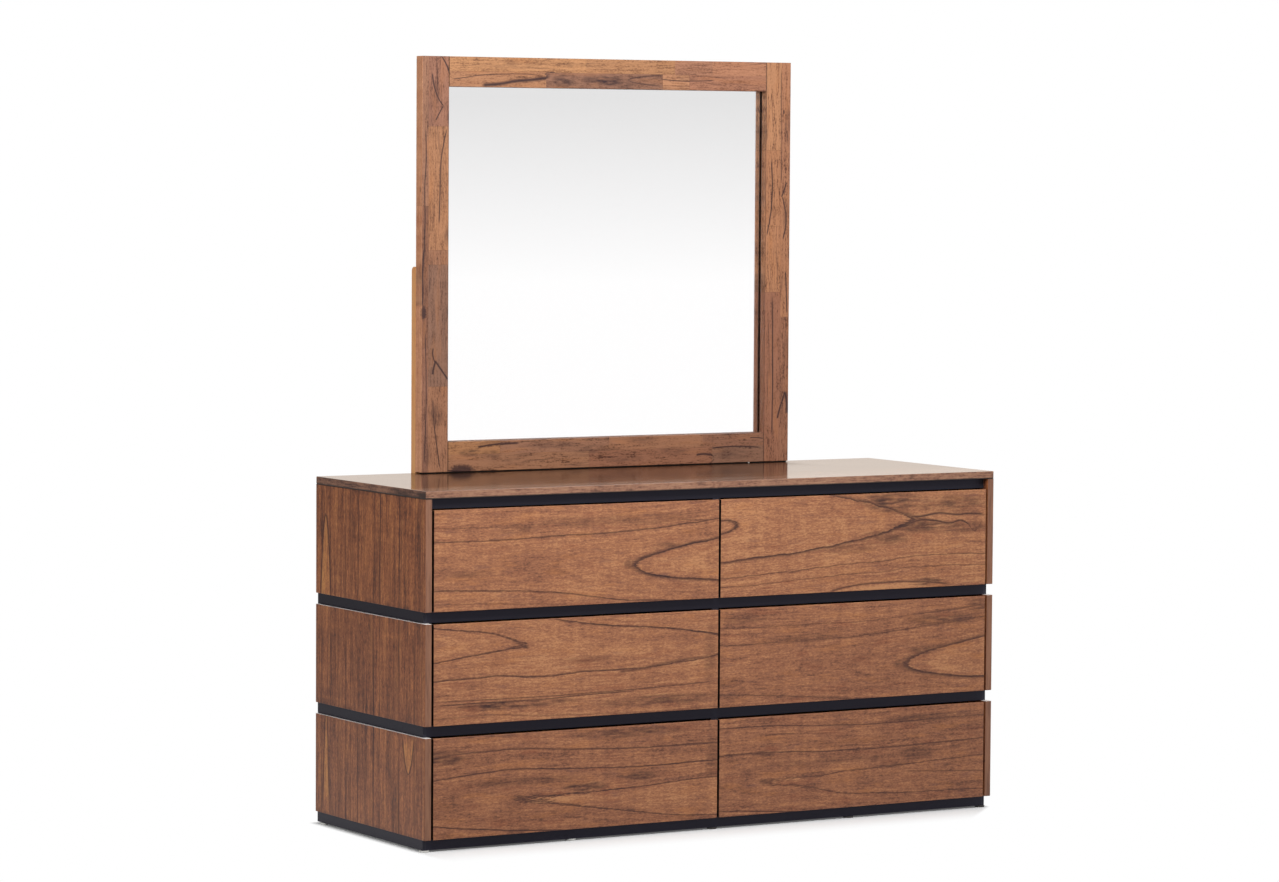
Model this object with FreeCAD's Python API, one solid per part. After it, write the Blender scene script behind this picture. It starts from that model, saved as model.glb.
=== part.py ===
import FreeCAD, Part
import math
import os

# A free-standing dresser with two columns of three drawers, and a framed mirror that stands over
# its top and is held from behind by two wooden uprights.
# Lengths are mm and +Z is up. The front faces -Y, and the origin is on the floor, under the
# middle of the whole footprint. Left and right are those of someone who faces the drawers.

# ---- Cabinet boards
cabinet_width = 1500.0
cabinet_depth = 525.0
slab_thickness = 17.0
side_thickness = 16.0
divider_thickness = 25.0
base_thickness = 24.0
partition_thickness = 18.0
back_thickness = 6.0
lower_tier_height = 224.0
middle_tier_height = 224.0
upper_tier_height = 247.0
divider_inset = 5.0          # how far the black boards stand in from the side panels' faces
back_rebate_width = 8.0      # lap of the back panels into the side panels
arris_radius = 1.0           # eased edges of the veneered boards
slab_arris_radius = 1.6      # makes a small groove where the slab meets the side panels
black_arris_radius = 0.6

# ---- Rail behind the top finger groove
rail_height = 23.0
rail_thickness = 18.0

# ---- Dowels
dowel_radius = 3.0
dowel_reach = 20.0           # into the panel on either side of a board
dowel_cover = 6.0            # wood left beyond a dowel in the slab and in the base
dowel_end_inset = 60.0       # from the cabinet's front and back to the nearest dowel
dowels_in_a_row = 3

# ---- Glides
glide_height = 4.0
glide_radius = 11.5
glide_arris_radius = 1.0
glide_side_inset = 12.0
glide_end_inset = 26.0
glides_across = 5
peg_radius = 3.0
peg_length = 12.0

# ---- Drawer fronts
front_thickness = 18.0
front_side_gap = 5.0
front_centre_gap = 5.0
front_top_gap = 2.0
grip_bevel = 12.0            # bevel behind the top edge, for the fingers

# ---- Drawer boxes
box_board_thickness = 12.0
box_height = 170.0
box_back_gap = 51.0          # from the box to the back panel
box_rise = 18.0              # from the board below to the box
bottom_thickness = 5.0
bottom_rise = 12.0           # from the box's lower edge to the bottom panel
groove_depth = 6.0
tongue_thickness = 5.0       # on the inner front and the back, at both ends
tongue_reach = 5.0           # into the box's sides

# ---- Drawer runners: a channel on the cabinet, and a smaller one on the drawer inside it
runner_space = 12.5          # between the cabinet's wall and the drawer box
runner_height = 45.0
runner_sheet = 1.2
runner_setback = 2.0         # from the carcass front to the runners
runner_end_gap = 8.0         # from the runners' rear ends to the box's back
runner_rise = 60.0           # from the box's lower edge to the runners' middle
outer_flange = 9.5
inner_flange = 8.5
cage_height = 3.0
cage_width = 4.6
cage_length = 80.0
cage_end_gap = 8.0
stop_length = 8.0
stop_height = 14.0
outer_stop_depth = 4.5
inner_stop_depth = 7.0
drawer_travel = 340.0

# ---- Mirror
mirror_width = 994.0
mirror_height = 950.0
frame_member_width = 69.0
frame_thickness = 30.0
frame_arris_radius = 1.2
glass_recess = 21.0          # from the frame's front to the glass
glass_thickness = 5.0
glass_lap = 10.0             # width of the rebate that the glass lies in
tenon_length = 30.0
tenon_thickness = 10.0
tenon_height = 40.0
pad_height = 2.0
pad_width = 8.0
pad_setback = 3.0            # from the frame's front to the strips
pad_end_inset = 3.0          # from the mirror's ends to the strips
pad_joint_inset = 106.0      # from the mirror's right end to where the strips nearly meet
pad_joint_gap = 9.0

# ---- Plates that hold the backing board
clip_length = 26.0
clip_width = 14.0
clip_sheet = 1.2
clip_screw_offset = 7.0      # from the rebate's edge to the screw
clip_end_inset = 157.0       # from the rebate's corners to the nearest screw on a rail
clips_on_a_rail = 3
clip_screw_radius = 1.6
clip_screw_length = 12.0
clip_head_radius = 3.4
clip_head_height = 1.8
stile_clip_rise = 120.0      # from the uprights' tops to the first screw on a stile
stile_clip_drop = 80.0       # from the rebate's top to the last one
clips_on_a_stile = 2

# ---- Uprights
upright_width = 60.0
upright_thickness = 20.0
upright_rise = 470.0         # above the mirror's lower edge
upright_corner_radius = 10.0
upright_arris_radius = 1.0
screw_radius = 2.0
screw_head_radius = 4.2
screw_head_depth = 2.6
screw_reach = 22.0           # beyond the upright
screw_end_inset = 60.0       # from the ends of the stretch that lies on the mirror
screws_on_the_mirror = 3

# ---- Clearances
fitted_clearance = 0.2       # round a piece that is let into another
bore_clearance = 0.1         # round a dowel, peg or screw, on the radius
bore_end_gap = 1.0           # beyond the end of a dowel, peg or screw
running_clearance = 0.3      # between the two halves of a runner

# ---- Places that follow from the sizes
front_y = -(cabinet_depth + upright_thickness) / 2
back_y = front_y + cabinet_depth
carcass_y = front_y + front_thickness
box_length = back_y - back_thickness - box_back_gap - carcass_y
runner_length = box_length - runner_setback - runner_end_gap
side_x = cabinet_width / 2
wall_x = side_x - side_thickness
lower_z = glide_height + base_thickness
lower_divider_z = lower_z + lower_tier_height
middle_z = lower_divider_z + divider_thickness
upper_divider_z = middle_z + middle_tier_height
upper_z = upper_divider_z + divider_thickness
slab_z = upper_z + upper_tier_height
top_z = slab_z + slab_thickness
rail_z = slab_z - rail_height
mirror_z = top_z + pad_height
mirror_top_z = mirror_z + mirror_height
mirror_x = mirror_width / 2
mirror_front_y = back_y - frame_thickness
glass_y = mirror_front_y + glass_recess
upright_top_z = mirror_z + upright_rise

# Each tier: its name, floor, ceiling, and the top of the space that its drawer fronts fill.
TIERS = [
    ("lower", lower_z, lower_divider_z, lower_divider_z),
    ("middle", middle_z, upper_divider_z, upper_divider_z),
    ("upper", upper_z, slab_z, rail_z),
]
SIDES = [("left", -1), ("right", 1)]


# ---- Shapes that several pieces share
def block(x_range, y_range, z_range):
    """A squared block between two limits on each axis, given in either order."""
    low = [min(pair) for pair in (x_range, y_range, z_range)]
    size = [abs(pair[1] - pair[0]) for pair in (x_range, y_range, z_range)]
    return Part.makeBox(*size, FreeCAD.Vector(*low))


def eased(board, radius):
    """A board with all its edges rounded over."""
    return board.makeFillet(radius, board.Edges)


def rod(radius, start, end):
    """A round rod between two points."""
    run = end - start
    return Part.makeCylinder(radius, run.Length, start, run)


def stretched(start, end, by):
    """The same two points, each moved outwards along their line."""
    step = (end - start).normalize() * by
    return start - step, end + step


def spaced(first, last, count):
    """Evenly spaced places from first to last."""
    if count < 2:
        return [(first + last) / 2]
    return [first + (last - first) * i / (count - 1) for i in range(count)]


def group(solids):
    """Several separate solids in one node."""
    return Part.makeCompound(solids)


def save(name, shape):
    """Writes one node."""
    shape.exportStep(os.path.join("parts", name + ".step"))


# ---- Dowels and glides, with the bores that take them
def dowel_lines():
    """The two ends of each dowel's middle line, board by board."""
    depths = spaced(front_y + dowel_end_inset, back_y - dowel_end_inset, dowels_in_a_row)
    middle_of_lap = (wall_x + side_x - divider_inset) / 2
    heights = [
        (glide_height + dowel_cover, lower_z + dowel_reach),
        (lower_divider_z - dowel_reach, middle_z + dowel_reach),
        (upper_divider_z - dowel_reach, upper_z + dowel_reach),
        (slab_z - dowel_reach, top_z - dowel_cover),
    ]
    lines = []
    for x in (-middle_of_lap, 0.0, middle_of_lap):
        for y in depths:
            for low, high in heights:
                lines.append((FreeCAD.Vector(x, y, low), FreeCAD.Vector(x, y, high)))
    return lines


def dowels():
    return group([rod(dowel_radius, low, high) for low, high in dowel_lines()])


def dowel_bores():
    radius = dowel_radius + bore_clearance
    return group([rod(radius, *stretched(low, high, bore_end_gap)) for low, high in dowel_lines()])


def glide_places():
    outer = side_x - glide_side_inset
    places = []
    for x in spaced(-outer, outer, glides_across):
        for y in (front_y + glide_end_inset, back_y - glide_end_inset):
            places.append(FreeCAD.Vector(x, y, 0.0))
    return places


def glide(place):
    """A plastic disc with a peg that is pressed into the base board."""
    disc = Part.makeCylinder(glide_radius, glide_height, place)
    rim = [edge for edge in disc.Edges if edge.BoundBox.ZMax < glide_height / 2]
    disc = disc.makeFillet(glide_arris_radius, rim)
    peg_foot = place + FreeCAD.Vector(0, 0, glide_height / 2)
    peg_end = place + FreeCAD.Vector(0, 0, glide_height + peg_length)
    return disc.fuse(rod(peg_radius, peg_foot, peg_end)).removeSplitter()


def peg_bores():
    depth = peg_length + bore_end_gap
    bores = []
    for place in glide_places():
        mouth = place + FreeCAD.Vector(0, 0, glide_height)
        bores.append(rod(peg_radius + bore_clearance, mouth, mouth + FreeCAD.Vector(0, 0, depth)))
    return group(bores)


# ---- Cabinet
def top_slab():
    slab = block((-side_x, side_x), (front_y, back_y), (slab_z, top_z))
    return eased(slab, slab_arris_radius).cut(dowel_bores()).cut(upright_screw_bores())


def side_panel(side, floor_z, ceiling_z):
    """One tier's outer wall, rebated at the back for the back panel."""
    outer = side * side_x
    inner = side * wall_x
    panel = eased(block((outer, inner), (front_y, back_y), (floor_z, ceiling_z)), arris_radius)
    rebate = block(
        (inner - side * back_rebate_width, inner + side * back_rebate_width),
        (back_y - back_thickness, back_y + back_thickness),
        (floor_z, ceiling_z),
    )
    return panel.cut(rebate).cut(dowel_bores())


def black_board(floor_z, thickness):
    """A full-depth board that stands in from the side panels and behind the drawer fronts."""
    half = side_x - divider_inset
    board = block((-half, half), (carcass_y, back_y), (floor_z, floor_z + thickness))
    return eased(board, black_arris_radius).cut(dowel_bores())


def top_rail():
    return block((-wall_x, wall_x), (carcass_y, carcass_y + rail_thickness), (rail_z, slab_z))


def partition(floor_z, ceiling_z):
    """The wall between the two columns of one tier."""
    half = partition_thickness / 2
    board = block((-half, half), (carcass_y, back_y - back_thickness), (floor_z, ceiling_z))
    return board.cut(dowel_bores())


def back_panel(floor_z, ceiling_z):
    half = wall_x + back_rebate_width - fitted_clearance
    return block((-half, half), (back_y - back_thickness, back_y), (floor_z, ceiling_z))


# ---- Drawers
def front(side, floor_z, space_top_z):
    """A drawer front that covers the edges of its bay, bevelled behind its top edge."""
    outer = side * (wall_x - front_side_gap)
    inner = side * front_centre_gap / 2
    top = space_top_z - front_top_gap
    board = eased(block((outer, inner), (front_y, carcass_y), (floor_z, top)), arris_radius)
    left = min(outer, inner)
    corner = FreeCAD.Vector(left, carcass_y, top)
    down = FreeCAD.Vector(left, carcass_y, top - grip_bevel)
    ahead = FreeCAD.Vector(left, carcass_y - grip_bevel, top)
    wedge = Part.Face(Part.makePolygon([corner, down, ahead, corner]))
    return board.cut(wedge.extrude(FreeCAD.Vector(abs(outer - inner), 0, 0)))


def box_limits(side):
    """The outer faces of a drawer box: the one at the cabinet's side, and the one in the middle."""
    outer = side * (wall_x - runner_space)
    inner = side * (partition_thickness / 2 + runner_space)
    return outer, inner


def bottom_panel(side, floor_z, clearance):
    """The drawer bottom, smaller than its groove all round by the clearance."""
    outer, inner = box_limits(side)
    inset = box_board_thickness - groove_depth + clearance
    low = floor_z + box_rise + bottom_rise
    return block(
        (outer - side * inset, inner + side * inset),
        (carcass_y + inset, carcass_y + box_length - inset),
        (low, low + bottom_thickness - clearance),
    )


def box_heights(floor_z):
    """The lower and the upper edge of a drawer box."""
    return (floor_z + box_rise, floor_z + box_rise + box_height)


def box_end_places():
    """The front faces of a drawer box's inner front and of its back."""
    return (carcass_y, carcass_y + box_length - box_board_thickness)


def box_joints(side):
    """The inner faces of a box's two sides, each with the direction into the board."""
    outer, inner = box_limits(side)
    return [(outer - side * box_board_thickness, side), (inner + side * box_board_thickness, -side)]


def corner_tongue(end_y, face, into_side, floor_z, clearance):
    """The tongue that enters one side, grown by the clearance for its groove."""
    centre_y = end_y + box_board_thickness / 2
    half = tongue_thickness / 2 + clearance
    return block(
        (face, face + into_side * (tongue_reach + clearance)),
        (centre_y - half, centre_y + half),
        box_heights(floor_z),
    )


def box_sides(side, floor_z):
    """The two sides of a drawer box, grooved for the bottom and for the corner tongues."""
    y_range = (carcass_y, carcass_y + box_length)
    groove = bottom_panel(side, floor_z, 0.0)
    boards = []
    for face, into_side in box_joints(side):
        outside = face + into_side * box_board_thickness
        board = block((face, outside), y_range, box_heights(floor_z)).cut(groove)
        for end_y in box_end_places():
            board = board.cut(corner_tongue(end_y, face, into_side, floor_z, fitted_clearance))
        boards.append(board)
    return group(boards)


def box_ends(side, floor_z):
    """The inner front and the back of a drawer box, tongued into its sides."""
    groove = bottom_panel(side, floor_z, 0.0)
    joints = box_joints(side)
    faces = [face for face, _ in joints]
    boards = []
    for end_y in box_end_places():
        board = block(faces, (end_y, end_y + box_board_thickness), box_heights(floor_z))
        for face, into_side in joints:
            board = board.fuse(corner_tongue(end_y, face, into_side, floor_z, 0.0))
        boards.append(board.removeSplitter().cut(groove))
    return group(boards)


# ---- Runners
def channel(web_x, lip_x, height, centre_z):
    """A length of channel: its web at web_x, its two flanges out to lip_x."""
    towards_lip = math.copysign(runner_sheet, lip_x - web_x)
    y_range = (carcass_y + runner_setback, carcass_y + runner_setback + runner_length)
    half = height / 2
    inside = half - runner_sheet
    solid = block((web_x, lip_x), y_range, (centre_z - half, centre_z + half))
    hollow = block((web_x + towards_lip, lip_x), y_range, (centre_z - inside, centre_z + inside))
    return solid.cut(hollow)


def runner_walls(side):
    """The two walls of a bay, each with the direction from the wall to the drawer."""
    return [(side * wall_x, -side), (side * partition_thickness / 2, side)]


def cabinet_runner(wall, inward, centre_z):
    """The fixed channel with its stop, and the two strips that cage its balls."""
    y_front = carcass_y + runner_setback
    y_rear = y_front + runner_length
    half_stop = stop_height / 2
    stop_rear = y_rear - stop_length - drawer_travel
    body = channel(wall, wall + inward * outer_flange, runner_height, centre_z)
    stop = block(
        (wall, wall + inward * outer_stop_depth),
        (stop_rear - stop_length, stop_rear),
        (centre_z - half_stop, centre_z + half_stop),
    )
    cage_x = wall + inward * (outer_flange - cage_width)
    cage_y = y_front + cage_end_gap
    solids = [body.fuse(stop)]
    for up in (-1, 1):
        z = centre_z + up * (runner_height / 2 - runner_sheet)
        solids.append(
            block(
                (cage_x, cage_x + inward * cage_width),
                (cage_y, cage_y + cage_length),
                (z, z - up * cage_height),
            )
        )
    return solids


def drawer_runner(wall, inward, centre_z):
    """The channel on the drawer, with the stop at its rear end."""
    web = wall + inward * runner_space
    y_rear = carcass_y + runner_setback + runner_length
    half_stop = stop_height / 2
    height = runner_height - 2 * (runner_sheet + cage_height + running_clearance)
    body = channel(web, web - inward * inner_flange, height, centre_z)
    stop = block(
        (web, web - inward * (runner_sheet + inner_stop_depth)),
        (y_rear - stop_length + running_clearance, y_rear),
        (centre_z - half_stop, centre_z + half_stop),
    )
    return body.fuse(stop)


def runner_centre(floor_z):
    return floor_z + box_rise + runner_rise


def cabinet_runners():
    solids = []
    for _, floor_z, _, _ in TIERS:
        for _, side in SIDES:
            for wall, inward in runner_walls(side):
                solids += cabinet_runner(wall, inward, runner_centre(floor_z))
    return group(solids)


def drawer_runners(side, floor_z):
    centre_z = runner_centre(floor_z)
    return group([drawer_runner(wall, inward, centre_z) for wall, inward in runner_walls(side)])


# ---- Mirror
def tenon(side, rail_low_z, clearance):
    """The tongue at one end of a rail, grown all round by the clearance for its mortise."""
    shoulder = side * (mirror_x - frame_member_width)
    centre_y = mirror_front_y + frame_thickness / 2
    centre_z = rail_low_z + frame_member_width / 2
    half_y = tenon_thickness / 2 + clearance
    half_z = tenon_height / 2 + clearance
    return block(
        (shoulder, shoulder + side * (tenon_length + clearance)),
        (centre_y - half_y, centre_y + half_y),
        (centre_z - half_z, centre_z + half_z),
    )


def rail_heights():
    """The lower edges of the bottom and the top rail."""
    return (mirror_z, mirror_top_z - frame_member_width)


def glass_block(y_range, clearance):
    """A sheet that fills the frame's rebate, smaller all round by the clearance."""
    inset = frame_member_width - glass_lap + clearance
    x = mirror_x - inset
    return block((-x, x), y_range, (mirror_z + inset, mirror_top_z - inset))


def frame_rebate():
    return glass_block((glass_y, back_y), 0.0)


def stile(side):
    """An upright member of the frame, mortised for both rails."""
    outer = side * mirror_x
    inner = outer - side * frame_member_width
    board = block((outer, inner), (mirror_front_y, back_y), (mirror_z, mirror_top_z))
    board = eased(board, frame_arris_radius).cut(frame_rebate())
    for rail_z_low in rail_heights():
        board = board.cut(tenon(side, rail_z_low, fitted_clearance))
    return board.cut(upright_screw_bores()).cut(clip_screw_bores())


def frame_rail(rail_low_z):
    """A level member of the frame, with a tenon at each end."""
    half = mirror_x - frame_member_width
    z_range = (rail_low_z, rail_low_z + frame_member_width)
    board = block((-half, half), (mirror_front_y, back_y), z_range)
    board = eased(board, frame_arris_radius).cut(frame_rebate())
    for _, side in SIDES:
        board = board.fuse(tenon(side, rail_low_z, 0.0))
    return board.cut(clip_screw_bores())


def mirror_glass():
    return glass_block((glass_y, glass_y + glass_thickness), fitted_clearance)


def mirror_backing():
    return glass_block((glass_y + glass_thickness, back_y), fitted_clearance)


def mirror_pads():
    """The two strips of foam that the frame stands on, laid end to end."""
    y = mirror_front_y + pad_setback
    end = mirror_x - pad_end_inset
    joint = mirror_x - pad_joint_inset
    half_gap = pad_joint_gap / 2
    runs = [(-end, joint - half_gap), (joint + half_gap, end)]
    return group([block(run, (y, y + pad_width), (top_z, mirror_z)) for run in runs])


# ---- Plates behind the mirror
def clip_places():
    """Each plate's screw, on the frame's back, with the direction from it to the backing."""
    rebate_edge = frame_member_width - glass_lap
    edge = rebate_edge - clip_screw_offset
    outer = mirror_x - rebate_edge - clip_end_inset
    places = []
    for x in spaced(-outer, outer, clips_on_a_rail):
        places.append((FreeCAD.Vector(x, back_y, mirror_z + edge), FreeCAD.Vector(0, 0, 1)))
        places.append((FreeCAD.Vector(x, back_y, mirror_top_z - edge), FreeCAD.Vector(0, 0, -1)))
    low = upright_top_z + stile_clip_rise
    high = mirror_top_z - rebate_edge - stile_clip_drop
    for _, side in SIDES:
        x = side * (mirror_x - edge)
        for z in spaced(low, high, clips_on_a_stile):
            places.append((FreeCAD.Vector(x, back_y, z), FreeCAD.Vector(-side, 0, 0)))
    return places


def clip_plate(place, towards):
    """A thin plate from just behind its screw to its lap on the backing board."""
    across = FreeCAD.Vector(towards.z, 0, towards.x) * (clip_width / 2)
    tail = place - towards * (clip_width / 2)
    far = tail + towards * clip_length
    corners = [tail - across, far - across, far + across, tail + across, tail - across]
    plate = Part.Face(Part.makePolygon(corners)).extrude(FreeCAD.Vector(0, clip_sheet, 0))
    through = FreeCAD.Vector(0, clip_sheet, 0)
    return plate.cut(rod(clip_screw_radius + bore_clearance, place, place + through))


def clip_screw(place):
    """A pan-headed screw, its head on the plate."""
    seat = place + FreeCAD.Vector(0, clip_sheet, 0)
    tip = place - FreeCAD.Vector(0, clip_screw_length, 0)
    crown = seat + FreeCAD.Vector(0, clip_head_height, 0)
    return rod(clip_screw_radius, tip, seat).fuse(rod(clip_head_radius, seat, crown))


def clip_screw_bores():
    depth = FreeCAD.Vector(0, clip_screw_length + bore_end_gap, 0)
    radius = clip_screw_radius + bore_clearance
    return group([rod(radius, place - depth, place) for place, _ in clip_places()])


def backing_clips():
    solids = []
    for place, towards in clip_places():
        solids.append(clip_plate(place, towards))
        solids.append(clip_screw(place))
    return group(solids)


# ---- Uprights
def upright_screw_places(side):
    """The screws of one upright, on its back face."""
    x = side * (mirror_x - upright_width / 2)
    heights = [
        upper_divider_z + divider_thickness / 2,
        slab_z + slab_thickness / 2,
    ]
    low = mirror_z + screw_end_inset
    high = upright_top_z - screw_end_inset
    heights += spaced(low, high, screws_on_the_mirror)
    return [FreeCAD.Vector(x, back_y + upright_thickness, z) for z in heights]


def upright_screw(place):
    """A countersunk screw, its head flush with the upright's back."""
    tip = place - FreeCAD.Vector(0, upright_thickness + screw_reach, 0)
    inwards = FreeCAD.Vector(0, -1, 0)
    head = Part.makeCone(screw_head_radius, screw_radius, screw_head_depth, place, inwards)
    return head.fuse(rod(screw_radius, tip, place))


def upright_screw_bores():
    """Bores for both uprights' screws, from the screws' heads to beyond their tips."""
    bores = []
    inwards = FreeCAD.Vector(0, -1, 0)
    for _, side in SIDES:
        for place in upright_screw_places(side):
            end = place + inwards * (upright_thickness + screw_reach + bore_end_gap)
            bores.append(rod(screw_radius + bore_clearance, end, place))
            sink = Part.makeCone(
                screw_head_radius + bore_clearance,
                screw_radius + bore_clearance,
                screw_head_depth + bore_clearance,
                place,
                inwards,
            )
            bores.append(sink)
    return group(bores)


def upright(side):
    """A batten behind the mirror and the cabinet, rounded at its top back corner."""
    outer = side * mirror_x
    inner = outer - side * upright_width
    y_range = (back_y, back_y + upright_thickness)
    outline = block((outer, inner), y_range, (upper_divider_z, upright_top_z))

    def at_top_back(edge):
        box = edge.BoundBox
        return box.ZMin > upright_top_z - upright_corner_radius and box.YMin > back_y

    batten = outline.makeFillet(upright_corner_radius, list(filter(at_top_back, outline.Edges)))
    around = [edge for edge in batten.Edges if edge.BoundBox.XLength < upright_width / 2]
    return batten.makeFillet(upright_arris_radius, around).cut(upright_screw_bores())


def upright_screws():
    places = [place for _, side in SIDES for place in upright_screw_places(side)]
    return group([upright_screw(place) for place in places])


# ---- The nodes
def save_cabinet():
    save("top_slab", top_slab())
    upper_divider = black_board(upper_divider_z, divider_thickness).cut(upright_screw_bores())
    save("upper_divider", upper_divider)
    save("lower_divider", black_board(lower_divider_z, divider_thickness))
    save("base_board", black_board(glide_height, base_thickness).cut(peg_bores()))
    save("top_rail", top_rail())
    save("carcass_dowels", dowels())
    save("cabinet_runners", cabinet_runners())
    save("glides", group([glide(place) for place in glide_places()]))
    save("back_panels", group([back_panel(floor, ceiling) for _, floor, ceiling, _ in TIERS]))
    for tier, floor_z, ceiling_z, _ in TIERS:
        save(tier + "_partition", partition(floor_z, ceiling_z).cut(top_rail()))
        for name, side in SIDES:
            save(f"{tier}_{name}_side", side_panel(side, floor_z, ceiling_z))


def save_drawers():
    for tier, floor_z, _, space_top_z in TIERS:
        for name, side in SIDES:
            drawer = f"{tier}_{name}"
            save(drawer + "_front", front(side, floor_z, space_top_z))
            save(drawer + "_box_sides", box_sides(side, floor_z))
            save(drawer + "_box_ends", box_ends(side, floor_z))
            save(drawer + "_bottom", bottom_panel(side, floor_z, fitted_clearance))
            save(drawer + "_runners", drawer_runners(side, floor_z))


def save_mirror():
    low_rail_z, high_rail_z = rail_heights()
    save("mirror_bottom_rail", frame_rail(low_rail_z))
    save("mirror_top_rail", frame_rail(high_rail_z))
    save("mirror_glass", mirror_glass())
    save("mirror_backing", mirror_backing())
    save("backing_clips", backing_clips())
    save("mirror_pads", mirror_pads())
    save("upright_screws", upright_screws())
    for name, side in SIDES:
        save(f"mirror_{name}_stile", stile(side))
        save(f"{name}_upright", upright(side))


os.makedirs("parts", exist_ok=True)
save_cabinet()
save_drawers()
save_mirror()
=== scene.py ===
# %% [markdown]
# # A dresser with a mirror, finished in Blender
# The cabinet, its drawers and the mirror come from a CAD model, already cut to size. This lesson
# gives every board its finish: stained veneer with its own figure on each drawer front, jointed
# staves in the mirror frame, black lacquer, silvered glass, zinc and plastic. It then adds the
# small fixings that the CAD model leaves out.
#
# Its nodes lie in one shared frame, in metres: +X to the right of someone who faces the drawers,
# +Y to the back and +Z up, with the floor at zero.

# %% Load the model
import math
from functools import partialmethod

import bmesh
import bpy
from mathutils import Matrix, Vector


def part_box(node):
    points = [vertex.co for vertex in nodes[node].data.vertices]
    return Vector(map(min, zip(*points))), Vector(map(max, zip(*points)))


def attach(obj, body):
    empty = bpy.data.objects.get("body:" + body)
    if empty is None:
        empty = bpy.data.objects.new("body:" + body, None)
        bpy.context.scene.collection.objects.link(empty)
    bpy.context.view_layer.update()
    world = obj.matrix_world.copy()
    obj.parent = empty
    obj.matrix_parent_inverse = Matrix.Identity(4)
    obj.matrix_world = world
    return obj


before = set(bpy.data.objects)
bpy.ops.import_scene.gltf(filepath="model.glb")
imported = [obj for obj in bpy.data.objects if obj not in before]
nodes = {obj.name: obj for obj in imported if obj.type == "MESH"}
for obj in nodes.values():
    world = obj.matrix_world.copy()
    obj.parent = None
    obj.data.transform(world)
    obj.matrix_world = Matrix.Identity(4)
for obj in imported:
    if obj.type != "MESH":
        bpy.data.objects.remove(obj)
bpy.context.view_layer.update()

TIERS = ("lower", "middle", "upper")
SIDES = ("left", "right")
DRAWERS = [f"{tier}_{side}" for tier in TIERS for side in SIDES]

# %% [markdown]
# ## The camera
# Furniture is best seen from well back with a long lens, so that its upright lines stay almost
# parallel. The camera could be aimed with a Track To constraint, but then a slight lean of the
# horizon is hard to set. Here its matrix is built from three angles instead: how far it turns to
# the right, how far it looks down, and how much it leans.

# %% Place the camera
CAMERA_PLACE = Vector((-5.4041, -8.9696, 1.5083))
TURN_RIGHT = math.radians(30.835)
LOOK_DOWN = math.radians(3.519)
LEAN = math.radians(0.363)
LENS_MM = 128.55
SEES_AS_FAR_AS = 100


def place_camera():
    """Adds the camera and makes it the scene's own."""
    ahead = Vector((
        math.sin(TURN_RIGHT) * math.cos(LOOK_DOWN),
        math.cos(TURN_RIGHT) * math.cos(LOOK_DOWN),
        -math.sin(LOOK_DOWN),
    ))
    level = Vector((math.cos(TURN_RIGHT), -math.sin(TURN_RIGHT), 0))
    upright = level.cross(ahead)
    right = level * math.cos(LEAN) + upright * math.sin(LEAN)
    up = upright * math.cos(LEAN) - level * math.sin(LEAN)
    camera = bpy.data.objects.new("camera", bpy.data.cameras.new("camera"))
    camera.data.lens = LENS_MM
    camera.data.clip_end = SEES_AS_FAR_AS
    turned = Matrix((right, up, -ahead)).transposed().to_4x4()
    camera.matrix_world = Matrix.Translation(CAMERA_PLACE) @ turned
    bpy.context.scene.collection.objects.link(camera)
    bpy.context.scene.camera = camera
    return camera


print("camera at", place_camera().matrix_world.translation)

# %% [markdown]
# ## Formulas made of nodes
# A procedural finish is a formula that is worked out at each point of a surface. Node trees can
# be wired by hand, one Math node at a time, but a long formula is then hard to read. The small
# class below stands for the output of a node, and adding or multiplying two of them makes the
# Math node that does it. So the wood further down is written as plain sums. The greater and the
# lesser of two fields, a field without its sign and its square root are made the same way.

# %% Fields: numbers that vary over a surface
class Field:
    """One number at each point of a surface."""

    def __init__(self, socket):
        self.socket = socket
        self.tree = socket.id_data

    def work(self, operation, *others):
        made = self.tree.nodes.new("ShaderNodeMath")
        made.operation = operation
        for socket, value in zip(made.inputs, (self, *others)):
            feed(socket, value)
        return Field(made.outputs[0])

    __add__ = __radd__ = partialmethod(work, "ADD")
    __sub__ = partialmethod(work, "SUBTRACT")
    __mul__ = __rmul__ = partialmethod(work, "MULTIPLY")
    __truediv__ = partialmethod(work, "DIVIDE")
    or_more = partialmethod(work, "MAXIMUM")
    or_less = partialmethod(work, "MINIMUM")
    size = partialmethod(work, "ABSOLUTE")
    root = partialmethod(work, "SQRT")

    def __rsub__(self, other):
        return self.work("MULTIPLY_ADD", -1.0, other)


def feed(socket, value):
    """Gives a socket a field, another node's output, a colour or a number."""
    if isinstance(value, Field):
        value = value.socket
    if isinstance(value, bpy.types.NodeSocket):
        socket.id_data.links.new(value, socket)
    else:
        socket.default_value = value


def feed_all(node, **inputs):
    """Feeds a node's inputs by name, with an underscore for each space."""
    for name, value in inputs.items():
        feed(node.inputs[name.replace("_", " ")], value)
    return node


def add_node(tree, kind, settings=None, **inputs):
    """Adds a shader node, with its settings, and feeds its inputs by name."""
    made = tree.nodes.new("ShaderNode" + kind)
    for name, value in (settings or {}).items():
        setattr(made, name, value)
    return feed_all(made, **inputs)


def split(tree, socket):
    """The three fields of a vector."""
    parts = add_node(tree, "SeparateXYZ", Vector=socket)
    return [Field(output) for output in parts.outputs]


NOISE_MIDDLE = 0.5
NOISE_GAIN = 3.0


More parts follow.
